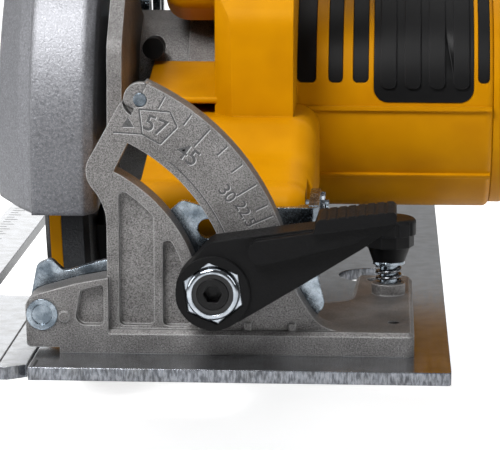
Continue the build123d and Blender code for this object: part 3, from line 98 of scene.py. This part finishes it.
# ---------------------------------------------------------------- material building
class Shader:
    """Small helper around one node tree with a principled surface."""

    def __init__(self, name):
        self.mat = bpy.data.materials.new(name)
        self.mat.use_nodes = True
        self.tree = self.mat.node_tree
        self.surface = next(n for n in self.tree.nodes if n.type == "BSDF_PRINCIPLED")
        self.place = self.node("ShaderNodeTexCoord").outputs["Object"]

    def node(self, kind, **values):
        made = self.tree.nodes.new(kind)
        for key, value in values.items():
            setattr(made, key, value)
        return made

    def link(self, source, target):
        self.tree.links.new(source, target)

    def set(self, **values):
        for key, value in values.items():
            self.surface.inputs[key.replace("_", " ")].default_value = value

    def noise(self, size_mm, detail=3.0, stretch=(1, 1, 1), rough=0.5):
        """Noise whose blobs are about size_mm wide."""
        place = self.place
        if stretch != (1, 1, 1):
            mapping = self.node("ShaderNodeMapping")
            mapping.inputs["Scale"].default_value = stretch
            self.link(place, mapping.inputs["Vector"])
            place = mapping.outputs["Vector"]
        tex = self.node("ShaderNodeTexNoise")
        tex.inputs["Scale"].default_value = 1000 / size_mm
        tex.inputs["Detail"].default_value = detail
        tex.inputs["Roughness"].default_value = rough
        self.link(place, tex.inputs["Vector"])
        return tex.outputs["Fac"]

    def speckle(self, size_mm):
        """Cells of about size_mm, each with its own random value."""
        tex = self.node("ShaderNodeTexVoronoi")
        tex.inputs["Scale"].default_value = 1000 / size_mm
        self.link(self.place, tex.inputs["Vector"])
        split = self.node("ShaderNodeSeparateColor")
        self.link(tex.outputs["Color"], split.inputs["Color"])
        return split.outputs["Red"]

    def ramp(self, source, low, high, a, b, target):
        """Maps source from low..high onto the colours or numbers a..b."""
        if isinstance(a, (int, float)):
            ramp = self.node("ShaderNodeMapRange")
            for key, value in (("From Min", low), ("From Max", high), ("To Min", a), ("To Max", b)):
                ramp.inputs[key].default_value = value
            self.link(source, ramp.inputs["Value"])
            out = ramp.outputs["Result"]
        else:
            ramp = self.node("ShaderNodeValToRGB")
            ramp.color_ramp.elements[0].position, ramp.color_ramp.elements[0].color = low, a
            ramp.color_ramp.elements[1].position, ramp.color_ramp.elements[1].color = high, b
            self.link(source, ramp.inputs["Fac"])
            out = ramp.outputs["Color"]
        if target is not None:
            self.link(out, self.surface.inputs[target])
        return out

    def blend(self, factor, a, b, mode="MIX"):
        """Colour mix of sockets or constant colours."""
        mix = self.node("ShaderNodeMix", data_type="RGBA", blend_type=mode)
        colour_in = [s for s in mix.inputs if s.type == "RGBA"]
        for value, socket in ((factor, mix.inputs[0]), (a, colour_in[0]), (b, colour_in[1])):
            if isinstance(value, bpy.types.NodeSocket):
                self.link(value, socket)
            else:
                socket.default_value = value
        return next(s for s in mix.outputs if s.type == "RGBA")

    def edge_wear_and_highlight(self, radius_mm=0.5):
        """About 1 along sharp edges and 0 on flats."""
        bevel = self.node("ShaderNodeBevel", samples=4)
        bevel.inputs["Radius"].default_value = radius_mm / 1000
        geometry = self.node("ShaderNodeNewGeometry")
        dot = self.node("ShaderNodeVectorMath", operation="DOT_PRODUCT")
        self.link(bevel.outputs["Normal"], dot.inputs[0])
        self.link(geometry.outputs["Normal"], dot.inputs[1])
        span = self.node("ShaderNodeMapRange")
        for key, value in (("From Min", 0.995), ("From Max", 0.9), ("To Min", 0.0), ("To Max", 1.0)):
            span.inputs[key].default_value = value
        self.link(dot.outputs["Value"], span.inputs["Value"])
        return span.outputs["Result"]

    def bump(self, layers, edge_mm=0.35):
        """Stacks (height socket, depth in mm) layers on a rounded-edge normal."""
        normal = None
        if edge_mm:
            bevel = self.node("ShaderNodeBevel", samples=4)
            bevel.inputs["Radius"].default_value = edge_mm / 1000
            normal = bevel.outputs["Normal"]
        for height, depth_mm in layers:
            bump = self.node("ShaderNodeBump")
            bump.inputs["Strength"].default_value = 1.0
            bump.inputs["Distance"].default_value = depth_mm / 1000
            self.link(height, bump.inputs["Height"])
            if normal is not None:
                self.link(normal, bump.inputs["Normal"])
            normal = bump.outputs["Normal"]
        self.link(normal, self.surface.inputs["Normal"])


# ---------------------------------------------------------------- materials
def cast_alloy():
    """Tumbled die casting: fine glittering grain over soft blotches."""
    s = Shader("cast alloy")
    s.set(Metallic=0.75)
    grain, blotch, spark = s.noise(0.42, 3, rough=0.8), s.noise(11, 2), s.speckle(0.22)
    base = s.ramp(blotch, 0.35, 0.65, srgb(124, 122, 121), srgb(146, 144, 143), None)
    pits = s.ramp(grain, 0.36, 0.60, srgb(132, 131, 130), srgb(255, 255, 255), None)
    base = s.blend(1.0, base, pits, "MULTIPLY")
    flecks = s.ramp(spark, 0.80, 1.0, (0, 0, 0, 1), srgb(92, 92, 93), None)
    base = s.blend(1.0, base, flecks, "ADD")
    # Lighter along sharp edges: partly rubbed wear, partly painted highlight standing in for the bright lines
    # along the rims' edges.
    edge = s.ramp(s.edge_wear_and_highlight(0.55), 0.0, 1.0, 0.0, 0.6, None)
    s.link(s.blend(edge, base, srgb(206, 206, 206)), s.surface.inputs["Base Color"])
    s.ramp(grain, 0.3, 0.7, 0.36, 0.58, "Roughness")
    s.bump([(grain, 0.22), (s.noise(0.3, 2), 0.08)], 0.8)
    return s.mat


def shoe_aluminium():
    """Rolled plate with streaks along its length and a mottled, sawn front edge."""
    s = Shader("shoe aluminium")
    s.set(Metallic=0.97)
    streak, blotch = s.noise(1.6, 4, (1.0, 0.03, 1.0)), s.noise(5, 4)
    base = s.ramp(streak, 0.3, 0.7, srgb(146, 149, 154), srgb(160, 163, 168), None)
    stain = s.ramp(blotch, 0.4, 0.7, (1, 1, 1, 1), srgb(222, 220, 216), None)
    base = s.blend(1.0, base, stain, "MULTIPLY")
    upright_grain = s.noise(0.7, 3, (1.0, 1.0, 0.3))
    saw_marks = s.ramp(upright_grain, 0.36, 0.64, srgb(140, 141, 144), srgb(222, 223, 226), None)
    sawn = s.blend(1.0, base, saw_marks, "MULTIPLY")
    facing = s.node("ShaderNodeSeparateXYZ")
    s.link(s.node("ShaderNodeNewGeometry").outputs["Normal"], facing.inputs["Vector"])
    upright = s.node("ShaderNodeMath", operation="ABSOLUTE")
    s.link(facing.outputs["Z"], upright.inputs[0])
    flat = s.ramp(upright.outputs["Value"], 0.3, 0.8, 0.0, 1.0, None)
    s.link(s.blend(flat, sawn, base), s.surface.inputs["Base Color"])
    s.ramp(streak, 0.3, 0.7, 0.17, 0.22, "Roughness")
    s.bump([(streak, 0.004), (s.noise(0.8, 3), 0.01)], 0.5)
    return s.mat


def zinc_steel():
    s = Shader("zinc steel")
    s.set(Metallic=1.0)
    blotch, fine = s.noise(5, 3), s.noise(0.6, 3)
    s.ramp(blotch, 0.35, 0.65, srgb(92, 102, 111), srgb(158, 168, 177), "Base Color")
    s.ramp(fine, 0.3, 0.7, 0.16, 0.32, "Roughness")
    s.bump([(fine, 0.03)], 0.4)
    return s.mat


def bright_steel():
    s = Shader("bright steel")
    s.set(Metallic=1.0)
    fine = s.noise(2.0, 3)
    s.ramp(fine, 0.3, 0.7, srgb(140, 147, 155), srgb(176, 182, 189), "Base Color")
    s.ramp(fine, 0.3, 0.7, 0.07, 0.17, "Roughness")
    s.bump([(fine, 0.02)], 0.5)
    return s.mat


def wire_steel():
    s = Shader("spring wire")
    s.set(Metallic=1.0)
    fine = s.noise(0.8, 2)
    s.ramp(fine, 0.3, 0.7, srgb(84, 86, 90), srgb(132, 134, 138), "Base Color")
    s.ramp(fine, 0.3, 0.7, 0.18, 0.32, "Roughness")
    return s.mat


def blade_steel():
    """Ground disc with rings about the arbor."""
    s = Shader("blade steel")
    s.set(Metallic=1.0)
    shift = s.node("ShaderNodeMapping")
    shift.inputs["Location"].default_value = -at(0, ARBOR_Y, ARBOR_Z)
    s.link(s.place, shift.inputs["Vector"])
    rings = s.node("ShaderNodeTexWave", wave_type="RINGS", rings_direction="X")
    rings.inputs["Scale"].default_value = 420.0
    rings.inputs["Distortion"].default_value = 1.2
    rings.inputs["Detail"].default_value = 3.0
    s.link(shift.outputs["Vector"], rings.inputs["Vector"])
    s.ramp(rings.outputs["Fac"], 0.0, 1.0, srgb(150, 152, 155), srgb(188, 189, 191), "Base Color")
    s.ramp(rings.outputs["Fac"], 0.0, 1.0, 0.22, 0.38, "Roughness")
    s.bump([(rings.outputs["Fac"], 0.01)], 0.15)
    return s.mat


def carbide():
    s = Shader("carbide")
    s.set(Metallic=1.0, Roughness=0.3)
    s.ramp(s.noise(0.5, 2), 0.3, 0.7, srgb(84, 86, 90), srgb(120, 121, 124), "Base Color")
    s.bump([(s.noise(0.3, 2), 0.01)], 0.15)
    return s.mat


def powder_coat(name, dark, light, rough=0.42, metal=0.25, fleck_mm=0.4, fleck=0.8, shine=0.5,
                edge_mm=0.6):
    """Painted metal with the fine orange peel and flecks of powder coat."""
    s = Shader(name)
    s.set(Metallic=metal, Specular_IOR_Level=shine)
    peel, spark = s.noise(0.9, 3, rough=0.65), s.speckle(fleck_mm)
    base = s.ramp(peel, 0.3, 0.7, srgb(*dark), srgb(*light), None)
    flecks = s.ramp(spark, 0.80, 1.0, (0, 0, 0, 1), srgb(*light), None)
    s.link(s.blend(fleck, base, flecks, "ADD"), s.surface.inputs["Base Color"])
    s.ramp(peel, 0.3, 0.7, rough - 0.06, rough + 0.1, "Roughness")
    s.bump([(peel, 0.12)], edge_mm)
    return s.mat


def plastic(name, dark, light, rough, grain_mm=0.35, grain_depth=0.03, edge_mm=0.5, shine=0.4, worn=None,
            tint=(1, 1, 1, 1)):
    """Moulded plastic with spark-eroded grain."""
    s = Shader(name)
    s.surface.inputs["Specular IOR Level"].default_value = shine
    s.set(Specular_Tint=tint)
    grain, blotch = s.noise(grain_mm, 2), s.noise(16, 2)
    base = s.ramp(blotch, 0.3, 0.7, srgb(*dark), srgb(*light), None)
    if worn:
        base = s.blend(s.edge_wear_and_highlight(0.45), base, srgb(*worn))
    s.link(base, s.surface.inputs["Base Color"])
    s.ramp(grain, 0.3, 0.7, rough - 0.05, rough + 0.08, "Roughness")
    s.bump([(grain, grain_depth)], edge_mm)
    return s.mat


def copper_laminate():
    """Enamelled wire and laminations seen through the vents."""
    s = Shader("copper laminate")
    s.set(Metallic=0.9)
    wave = s.node("ShaderNodeTexWave", bands_direction="X")
    wave.inputs["Scale"].default_value = 500.0
    s.link(s.place, wave.inputs["Vector"])
    s.ramp(wave.outputs["Fac"], 0.2, 0.8, srgb(96, 52, 30), srgb(176, 106, 62), "Base Color")
    s.ramp(s.noise(2, 2), 0.3, 0.7, 0.3, 0.5, "Roughness")
    s.bump([(wave.outputs["Fac"], 0.08)], 0)
    return s.mat


SLOT_MATERIALS = {
    "shoe_aluminium": shoe_aluminium(),
    "cast_alloy": cast_alloy(),
    "zinc_steel": zinc_steel(),
    "bright_steel": bright_steel(),
    "spring_steel": wire_steel(),
    "blade_steel": blade_steel(),
    "carbide": carbide(),
    "guard_paint": powder_coat("guard paint", (92, 93, 97), (126, 127, 131), 0.40, 0.5, 0.28, 0.45,
                               edge_mm=3.0),
    "lower_guard_paint": powder_coat("lower guard paint", (5, 5, 6), (13, 13, 14), 0.38, 0.1, 0.4, 0.5, 0.2),
    "lever_alloy": powder_coat("lever paint", (3, 3, 4), (8, 8, 9), 0.50, 0.0, 0.4, 0.5, 0.14),
    "yellow_plastic": plastic("yellow plastic", (172, 113, 0), (186, 126, 0), 0.40, 0.4, 0.03, 0.6, 0.2,
                              tint=(1.0, 0.72, 0.2, 1.0)),
    "black_plastic": plastic("black plastic", (4, 4, 5), (10, 10, 11), 0.44, shine=0.16, worn=(34, 34, 36)),
    "black_rubber": plastic("black rubber", (11, 11, 12), (20, 20, 21), 0.64, 0.7, 0.10, 0.6, 0.2),
    "black_steel": powder_coat("black oxide", (6, 6, 7), (14, 14, 15), 0.34, 0.6),
    "nylon": plastic("nylon", (14, 14, 15), (24, 24, 26), 0.42, 0.5, 0.02, 0.3),
    "copper_laminate": copper_laminate(),
    "cell_wrap": plastic("cell wrap", (38, 84, 140), (52, 100, 158), 0.3, 2.0, 0.02, 0.2),
    "red_plastic": plastic("red plastic", (150, 22, 14), (172, 30, 20), 0.36, 0.4, 0.02, 0.4),
}


for part in record["subparts"]:
    node = nodes[part["node"]]
    node.data.materials.clear()
    node.data.materials.append(SLOT_MATERIALS[part["material_slot"]])


# ---------------------------------------------------------------- new pieces
def piece(name, mesh, slot_name, body, material=None):
    """Adds a piece that rides on a CAD body and wears the material given, else its slot's finish."""
    obj = bpy.data.objects.new(name, mesh)
    bpy.context.scene.collection.objects.link(obj)
    obj.data.materials.append(material or SLOT_MATERIALS[slot_name])
    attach(obj, body)
    return obj


def mesh_of(build):
    """Mesh from a function that fills a bmesh in millimetres of the saw frame."""
    bm = bmesh.new()
    build(bm)
    for v in bm.verts:
        v.co = at(*v.co)
    bmesh.ops.recalc_face_normals(bm, faces=bm.faces)
    mesh = bpy.data.meshes.new("piece")
    bm.to_mesh(mesh)
    bm.free()
    return mesh


def slab(bm, outline, origin, across, up, thickness):
    """Prism of an outline of (u, v) points drawn on the plane of across and up."""
    across, up, origin = Vector(across), Vector(up), Vector(origin)
    out = across.cross(up) * thickness
    low = [bm.verts.new(origin + across * u + up * v) for u, v in outline]
    high = [bm.verts.new(v.co + out) for v in low]
    count = len(outline)
    bm.faces.new(low)
    bm.faces.new(list(reversed(high)))
    for i in range(count):
        j = (i + 1) % count
        bm.faces.new((low[i], high[i], high[j], low[j]))


def around(centre, radius, degrees):
    """Point at a radius and an angle about a centre."""
    t = math.radians(degrees)
    return centre[0] + radius * math.cos(t), centre[1] + radius * math.sin(t)


def bar(a, b, width):
    """Corners of a line of some width from a to b."""
    a, b = Vector(a), Vector(b)
    side = (b - a).normalized().orthogonal() * width / 2
    return [tuple(a - side), tuple(b - side), tuple(b + side), tuple(a + side)]


def arc_strip(radius, start, end, width, steps=24, centre=(0.0, 0.0)):
    """Outline of a narrow arc."""
    turns = [start + (end - start) * i / steps for i in range(steps + 1)]
    outer = [around(centre, radius + width / 2, t) for t in turns]
    inner = [around(centre, radius - width / 2, t) for t in turns]
    return outer + inner[::-1]


def numeral(text, height, u, v, turn, origin, across, up, thickness):
    """Mesh of generic scale numerals, centred on (u, v) of a plane."""
    curve = bpy.data.curves.new("numeral", "FONT")
    curve.body, curve.size, curve.align_x, curve.align_y = text, height * 1.38, "CENTER", "CENTER"
    curve.extrude = thickness / 2
    curve.offset = 0.012 * height
    holder = bpy.data.objects.new("numeral", curve)
    mesh = bpy.data.meshes.new_from_object(holder)
    bpy.data.objects.remove(holder)
    across, up = Vector(across), Vector(up)
    spin = Matrix.Rotation(math.radians(turn), 3, "Z")
    for vert in mesh.vertices:
        flat = spin @ vert.co
        spot = Vector(origin) + across * (u + flat.x) + up * (v + flat.y) + across.cross(up) * flat.z
        vert.co = at(*spot)
    return mesh


def join_meshes(name, meshes):
    bm = bmesh.new()
    for mesh in meshes:
        bm.from_mesh(mesh)
    joined = bpy.data.meshes.new(name)
    bm.to_mesh(joined)
    bm.free()
    return joined


FRONT = {"across": (1, 0, 0), "up": (0, 0, 1)}     # faces the front, out is -y


def ink(name, dark, light, metal=0.5):
    """Colour of a mark: printed marks get their own colour; engraved marks get painted shade for their
    grooves and painted highlight for their lit edges.
    """
    s = Shader(name)
    s.set(Metallic=metal, Roughness=0.6)
    s.ramp(s.noise(0.6, 2), 0.3, 0.7, srgb(*dark), srgb(*light), "Base Color")
    s.bump([(s.noise(0.5, 2), 0.03)], 0)
    return s.mat


# Painted shade: the dark colour of engraved marks stands in for the shade in their grooves.
SHADE = ink("engraving", (64, 64, 65), (92, 92, 93))
# Painted highlight on the lit edges of engraved marks; the same pale colour is also the printed turn arrow's
# own colour.
HIGHLIGHT_AND_PALE_PRINT = ink("engraving highlight and pale print", (166, 166, 166), (196, 196, 196))
PRINT = ink("printed black", (10, 10, 11), (18, 18, 19), 0.0)
WINDOW = ink("gauge windows", (120, 150, 120), (140, 170, 140), 0.0)


# ---------------------------------------------------------------- bevel scale on the quadrant
# Value and place of each tick, and text, place, turn and height of each numeral.
SCALE_TICKS = [(20, 21.4), (22.5, 23.8), (25, 26.5), (30, 31.8), (35, 37.3), (40, 42.6), (45, 48.1),
               (50, 53.4), (55, 60.6)]
LONG_TICKS = (22.5, 30, 45)
NUMERALS = [("57", 35.7, 75.2, -22, 5.2), ("45", 45.7, 66.3, -36, 5.2), ("30", 57.8, 54.4, -51, 4.0),
            ("22.5", 63.4, 48.0, -60, 3.6)]
LIMIT_BOX = [(22.7, 73.2), (31.7, 72.7), (30.8, 80.4), (40.4, 79.6), (42.5, 75.0), (37.2, 69.6), (31.7, 72.7)]
LIMIT_ARROW = [(25.5, 74.8), (29.2, 74.8), (27.4, 77.9)]


def bevel_scale(shift, height):
    """All the quadrant's marks, moved by shift and standing height off the face."""
    origin = (shift, WALL_FRONT - height / 2, -shift)
    plane = (origin, FRONT["across"], FRONT["up"], height)

    def lines(bm):
        hinge = (HINGE_X, HINGE_Z)
        for value, degrees in SCALE_TICKS:
            inner = ARC_R - (8.2 if value in LONG_TICKS else 5.2)
            slab(bm, bar(around(hinge, inner, degrees), around(hinge, ARC_R - 1.0, degrees), LINE), *plane)
        slab(bm, arc_strip(SLOT_R + 2.3, 14, 50, 0.4, 30, hinge), *plane)
        for a, b in zip(LIMIT_BOX, LIMIT_BOX[1:]):
            slab(bm, bar(a, b, LINE), *plane)
        slab(bm, LIMIT_ARROW, *plane)

    return [mesh_of(lines)] + [numeral(text, size, u, v, turn, *plane) for text, u, v, turn, size in NUMERALS]


# Two copies of the marks: a dark one of painted shade in the grooves, and a pale one, moved right and down,
# of painted highlight on their lit edges.
marks, lit_edges = bevel_scale(0.0, MARK), bevel_scale(0.22, MARK / 2)
piece("bevel_scale_painted_shade", join_meshes("bevel scale", marks), "cast_alloy", "shoe", SHADE)
piece("bevel_scale_painted_highlight", join_meshes("bevel scale painted highlight", lit_edges), "cast_alloy", "shoe", HIGHLIGHT_AND_PALE_PRINT)


# ---------------------------------------------------------------- rulers and printed marks
def shoe_ruler(bm):
    """Cut-length ruler along the shoe's left strip, a mark each 5 mm and a long one each 10 mm."""
    for i in range(1, 59):
        length = 5.0 if i % 2 == 0 else 3.0
        ends = (SHOE_EDGE, 5.0 * i), (SHOE_EDGE + length, 5.0 * i)
        slab(bm, bar(*ends, LINE), (0, 0, SHOE_TOP - MARK / 2), (1, 0, 0), (0, 1, 0), MARK)


def shoe_sights(bm):
    """Two sight lines on the shoe's front, for square cuts and for 45 degrees."""
    for x in (0.0, -18.0):
        slab(bm, bar((x, 1.5), (x, 9.0), 0.7), (0, 0, SHOE_TOP - MARK / 2), (1, 0, 0), (0, 1, 0), MARK)


def strap_scale(bm):
    """Depth marks near the strap's outer edge, 5 mm apart and every second one long."""
    edge = STRAP_R + 8.4
    for i in range(13):
        turn = -0.5 + 1.25 * i
        length = 4.2 if i % 2 == 0 else 2.6
        ends = [around((STRAP_Y, STRAP_Z), radius, turn) for radius in (edge - length, edge)]
        slab(bm, bar(*ends, LINE), (STRAP_FACE - MARK / 2, 0, 0), (0, 1, 0), (0, 0, 1), MARK)


def turn_arrow(bm):
    """Direction of the blade's turning, printed on the guard's left face."""
    plane = ((GUARD_LEFT + MARK / 2, ARBOR_Y, ARBOR_Z), (0, -1, 0), (0, 0, 1), MARK)
    radius, barb = 60, 4.8
    slab(bm, arc_strip(radius, 62, 112, 3.0), *plane)
    head = ((radius + barb, 62), (radius - barb, 62), (radius, 54))
    slab(bm, [around((0, 0), r, t) for r, t in head], *plane)


def label_plate(bm):
    """Blank plate with rounded corners on the guard's left face, below the arrow."""
    corner = 2
    outline = []
    for centre, start in (((20, 36), 0), ((-20, 36), 90), ((-20, 26), 180), ((20, 26), 270)):
        outline += [around(centre, corner, start + 15 * k) for k in range(7)]
    slab(bm, outline, (GUARD_LEFT + 0.1, ARBOR_Y, ARBOR_Z), (0, -1, 0), (0, 0, 1), 0.4)


def band(bm, centre, axis, radius, depth, start, width, turns):
    """Ring of rectangular section about the x or y axis, from start to start + width and depth thick."""
    end, inner = start + width, radius - depth
    section = ((start, inner), (start, radius), (end, radius), (end, inner))
    first, last, steps = turns
    rows = []
    for i in range(steps + 1):
        row = []
        for along, r in section:
            u, v = around(centre, r, first + (last - first) * i / steps)
            row.append(bm.verts.new((along, u, v) if axis == "x" else (u, along, v)))
        rows.append(row)
    for a, b in zip(rows, rows[1:]):
        for k in range(4):
            bm.faces.new((a[k], a[(k + 1) % 4], b[(k + 1) % 4], b[k]))
    bm.faces.new(rows[0])
    bm.faces.new(rows[-1][::-1])


def guard_stripe(bm):
    """Yellow band on the left of the lower guard's front rim."""
    band(bm, (ARBOR_Y, ARBOR_Z), "x", LOWER_R + 0.1, 0.5, -8.4, 4.0, (187, 227, 60))


def grip_rings(bm):
    """Low ribs around the upper side of the front handle."""
    first, pitch, width = 32.5, 5.2, 2.2
    for i in range(10):
        band(bm, GRIP_AXIS, "x", GRIP_R + 0.35, 0.8, first + pitch * i, width, (-35, 215, 60))


def port_rings(bm):
    """Ribs at the dust port's mouth."""
    first, pitch, width = PORT_END - 7.0, 5.0, 2.0
    for i in range(3):
        band(bm, PORT_AXIS, "y", PORT_R + 0.4, 0.8, first - pitch * i, width, (0, 359, 90))


def pack_ribs(bm):
    """Finger ribs on both sides of the battery pack."""
    first, pitch, low, high, width, sunk, thick = 262.0, 6.0, 60.0, 74.0, 2.4, 0.2, 0.7
    for i in range(8):
        y = first + pitch * i
        slab(bm, bar((y, low), (y, high), width), (PACK_RIGHT - sunk, 0, 0), (0, 1, 0), (0, 0, 1), thick)
        slab(bm, bar((-y, low), (-y, high), width), (PACK_LEFT + sunk, 0, 0), (0, -1, 0), (0, 0, 1), thick)


def pack_gauge(bm):
    """Three charge windows and their button on the pack's back."""
    first, pitch, low, high, width = 50.0, 5.0, 64.0, 66.4, 2.6
    for i in range(4):
        x = -first - pitch * i
        slab(bm, bar((x, low), (x, high), width), (0, PACK_BACK - 0.1, 0), (-1, 0, 0), (0, 0, 1), 0.35)


def pin_rim(bm):
    """Rolled rim and dished centre of the front hinge pin's head."""
    hinge, turn = (HINGE_X, HINGE_Z), (0, 359.9, 48)
    band(bm, hinge, "y", PIN_HEAD_R, 1.7, LUG_FRONT - 0.55, 0.7, turn)
    band(bm, hinge, "y", PIN_HEAD_R - 1.6, 3.25, LUG_FRONT - 0.1, 0.3, turn)


# The ruler's engraved marks are drawn in painted shade.
piece("shoe_ruler_marks", mesh_of(shoe_ruler), "shoe_aluminium", "shoe", SHADE)
piece("shoe_sight_lines", mesh_of(shoe_sights), "shoe_aluminium", "shoe", PRINT)
piece("depth_scale_marks", mesh_of(strap_scale), "zinc_steel", "tilt_frame", PRINT)
# The turn arrow is pale print, in the colour that also serves as the bevel scale's painted highlight.
piece("blade_turn_arrow", mesh_of(turn_arrow), "guard_paint", "saw_body", HIGHLIGHT_AND_PALE_PRINT)
piece("lower_guard_stripe", mesh_of(guard_stripe), "yellow_plastic", "swing_guard")
piece("guard_label_plate", mesh_of(label_plate), "black_plastic", "saw_body")
piece("front_grip_ribs", mesh_of(grip_rings), "black_rubber", "saw_body")
piece("dust_port_ribs", mesh_of(port_rings), "black_plastic", "saw_body")
piece("battery_side_ribs", mesh_of(pack_ribs), "black_plastic", "battery")
piece("battery_gauge", mesh_of(pack_gauge), "nylon", "battery", WINDOW)
piece("hinge_pin_rim", mesh_of(pin_rim), "zinc_steel", "shoe")

# ---------------------------------------------------------------- studio
floor_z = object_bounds()[0].z


def studio():
    """Pale floor that glows a little toward the camera, so that it stays near white."""
    bm = bmesh.new()
    bm.faces.new([bm.verts.new((x, y, floor_z - 0.0002)) for x, y in ((-6, -6), (6, -6), (6, 6), (-6, 6))])
    mesh = bpy.data.meshes.new("floor")
    bm.to_mesh(mesh)
    bm.free()
    floor = bpy.data.objects.new("floor", mesh)
    bpy.context.scene.collection.objects.link(floor)
    s = Shader("paper")
    s.set(Roughness=0.9, Emission_Color=(1, 1, 1, 1))
    s.surface.inputs["Specular IOR Level"].default_value = 0.1
    s.ramp(s.noise(200, 2), 0.3, 0.7, (0.86, 0.86, 0.86, 1), (0.9, 0.9, 0.9, 1), "Base Color")
    s.ramp(s.node("ShaderNodeLightPath").outputs["Is Camera Ray"], 0, 1, 0.14, 0.76, "Emission Strength")
    floor.data.materials.append(s.mat)


def area_light(name, place, aim, width, height, watts):
    data = bpy.data.lights.new(name, "AREA")
    data.shape, data.size, data.size_y, data.energy = "RECTANGLE", width, height, watts
    lamp = bpy.data.objects.new(name, data)
    lamp.location = Vector(place)
    lamp.rotation_mode = "QUATERNION"
    lamp.rotation_quaternion = (Vector(aim) - Vector(place)).to_track_quat("-Z", "Y")
    bpy.context.scene.collection.objects.link(lamp)


def lights():
    area_light("key", (-0.22, -0.55, 0.66), (0, -0.1, 0.05), 0.32, 0.32, 8.5)
    area_light("left wall", (-1.3, -0.2, 0.5), (0, -0.1, 0.05), 0.9, 0.7, 9)
    area_light("fill", (1.3, -0.8, 0.8), (0, 0, 0.05), 0.5, 0.9, 6)
    area_light("top", (0.0, 0.2, 1.5), (0, 0, 0.05), 1.0, 1.0, 5)
    area_light("back left panel", (-0.46, 1.4, 0.28), (-0.1, 0, 0.0), 0.55, 0.5, 1.25)
    world = bpy.data.worlds.new("studio")
    world.use_nodes = True
    sky = world.node_tree.nodes["Background"]
    sky.inputs["Color"].default_value = (1, 1, 1, 1)
    tree = world.node_tree
    split, span = tree.nodes.new("ShaderNodeSeparateXYZ"), tree.nodes.new("ShaderNodeMapRange")
    tree.links.new(tree.nodes.new("ShaderNodeTexCoord").outputs["Generated"], split.inputs["Vector"])
    for key, value in (("From Min", -0.1), ("From Max", 0.75), ("To Min", 0.10), ("To Max", 0.42)):
        span.inputs[key].default_value = value
    tree.links.new(split.outputs["Y"], span.inputs["Value"])
    seen = tree.nodes.new("ShaderNodeMath")
    seen.operation = "MAXIMUM"
    tree.links.new(span.outputs["Result"], seen.inputs[0])
    tree.links.new(tree.nodes.new("ShaderNodeLightPath").outputs["Is Camera Ray"], seen.inputs[1])
    tree.links.new(seen.outputs["Value"], sky.inputs["Strength"])
    bpy.context.scene.world = world


def camera():
    """Low front view of the quadrant, a long lens close to level."""
    data = bpy.data.cameras.new("camera")
    data.lens, data.sensor_width = 172.8, 36.0
    data.clip_start, data.clip_end = 0.05, 30
    cam = bpy.data.objects.new("camera", data)
    turn, drop = math.radians(3.28), math.radians(10.85)
    forward = Vector((-math.sin(turn) * math.cos(drop), math.cos(turn) * math.cos(drop), -math.sin(drop)))
    right = Vector((math.cos(turn), math.sin(turn), 0))
    up = right.cross(forward)
    spin = Matrix((right, up, -forward)).transposed()
    cam.matrix_world = Matrix.Translation(at(106.487, -703.740, 183.946)) @ spin.to_4x4()
    bpy.context.scene.collection.objects.link(cam)
    bpy.context.scene.camera = cam


studio()
lights()
camera()
bpy.context.scene.view_settings.view_transform = "Standard"
bpy.context.scene.view_settings.look = "None"
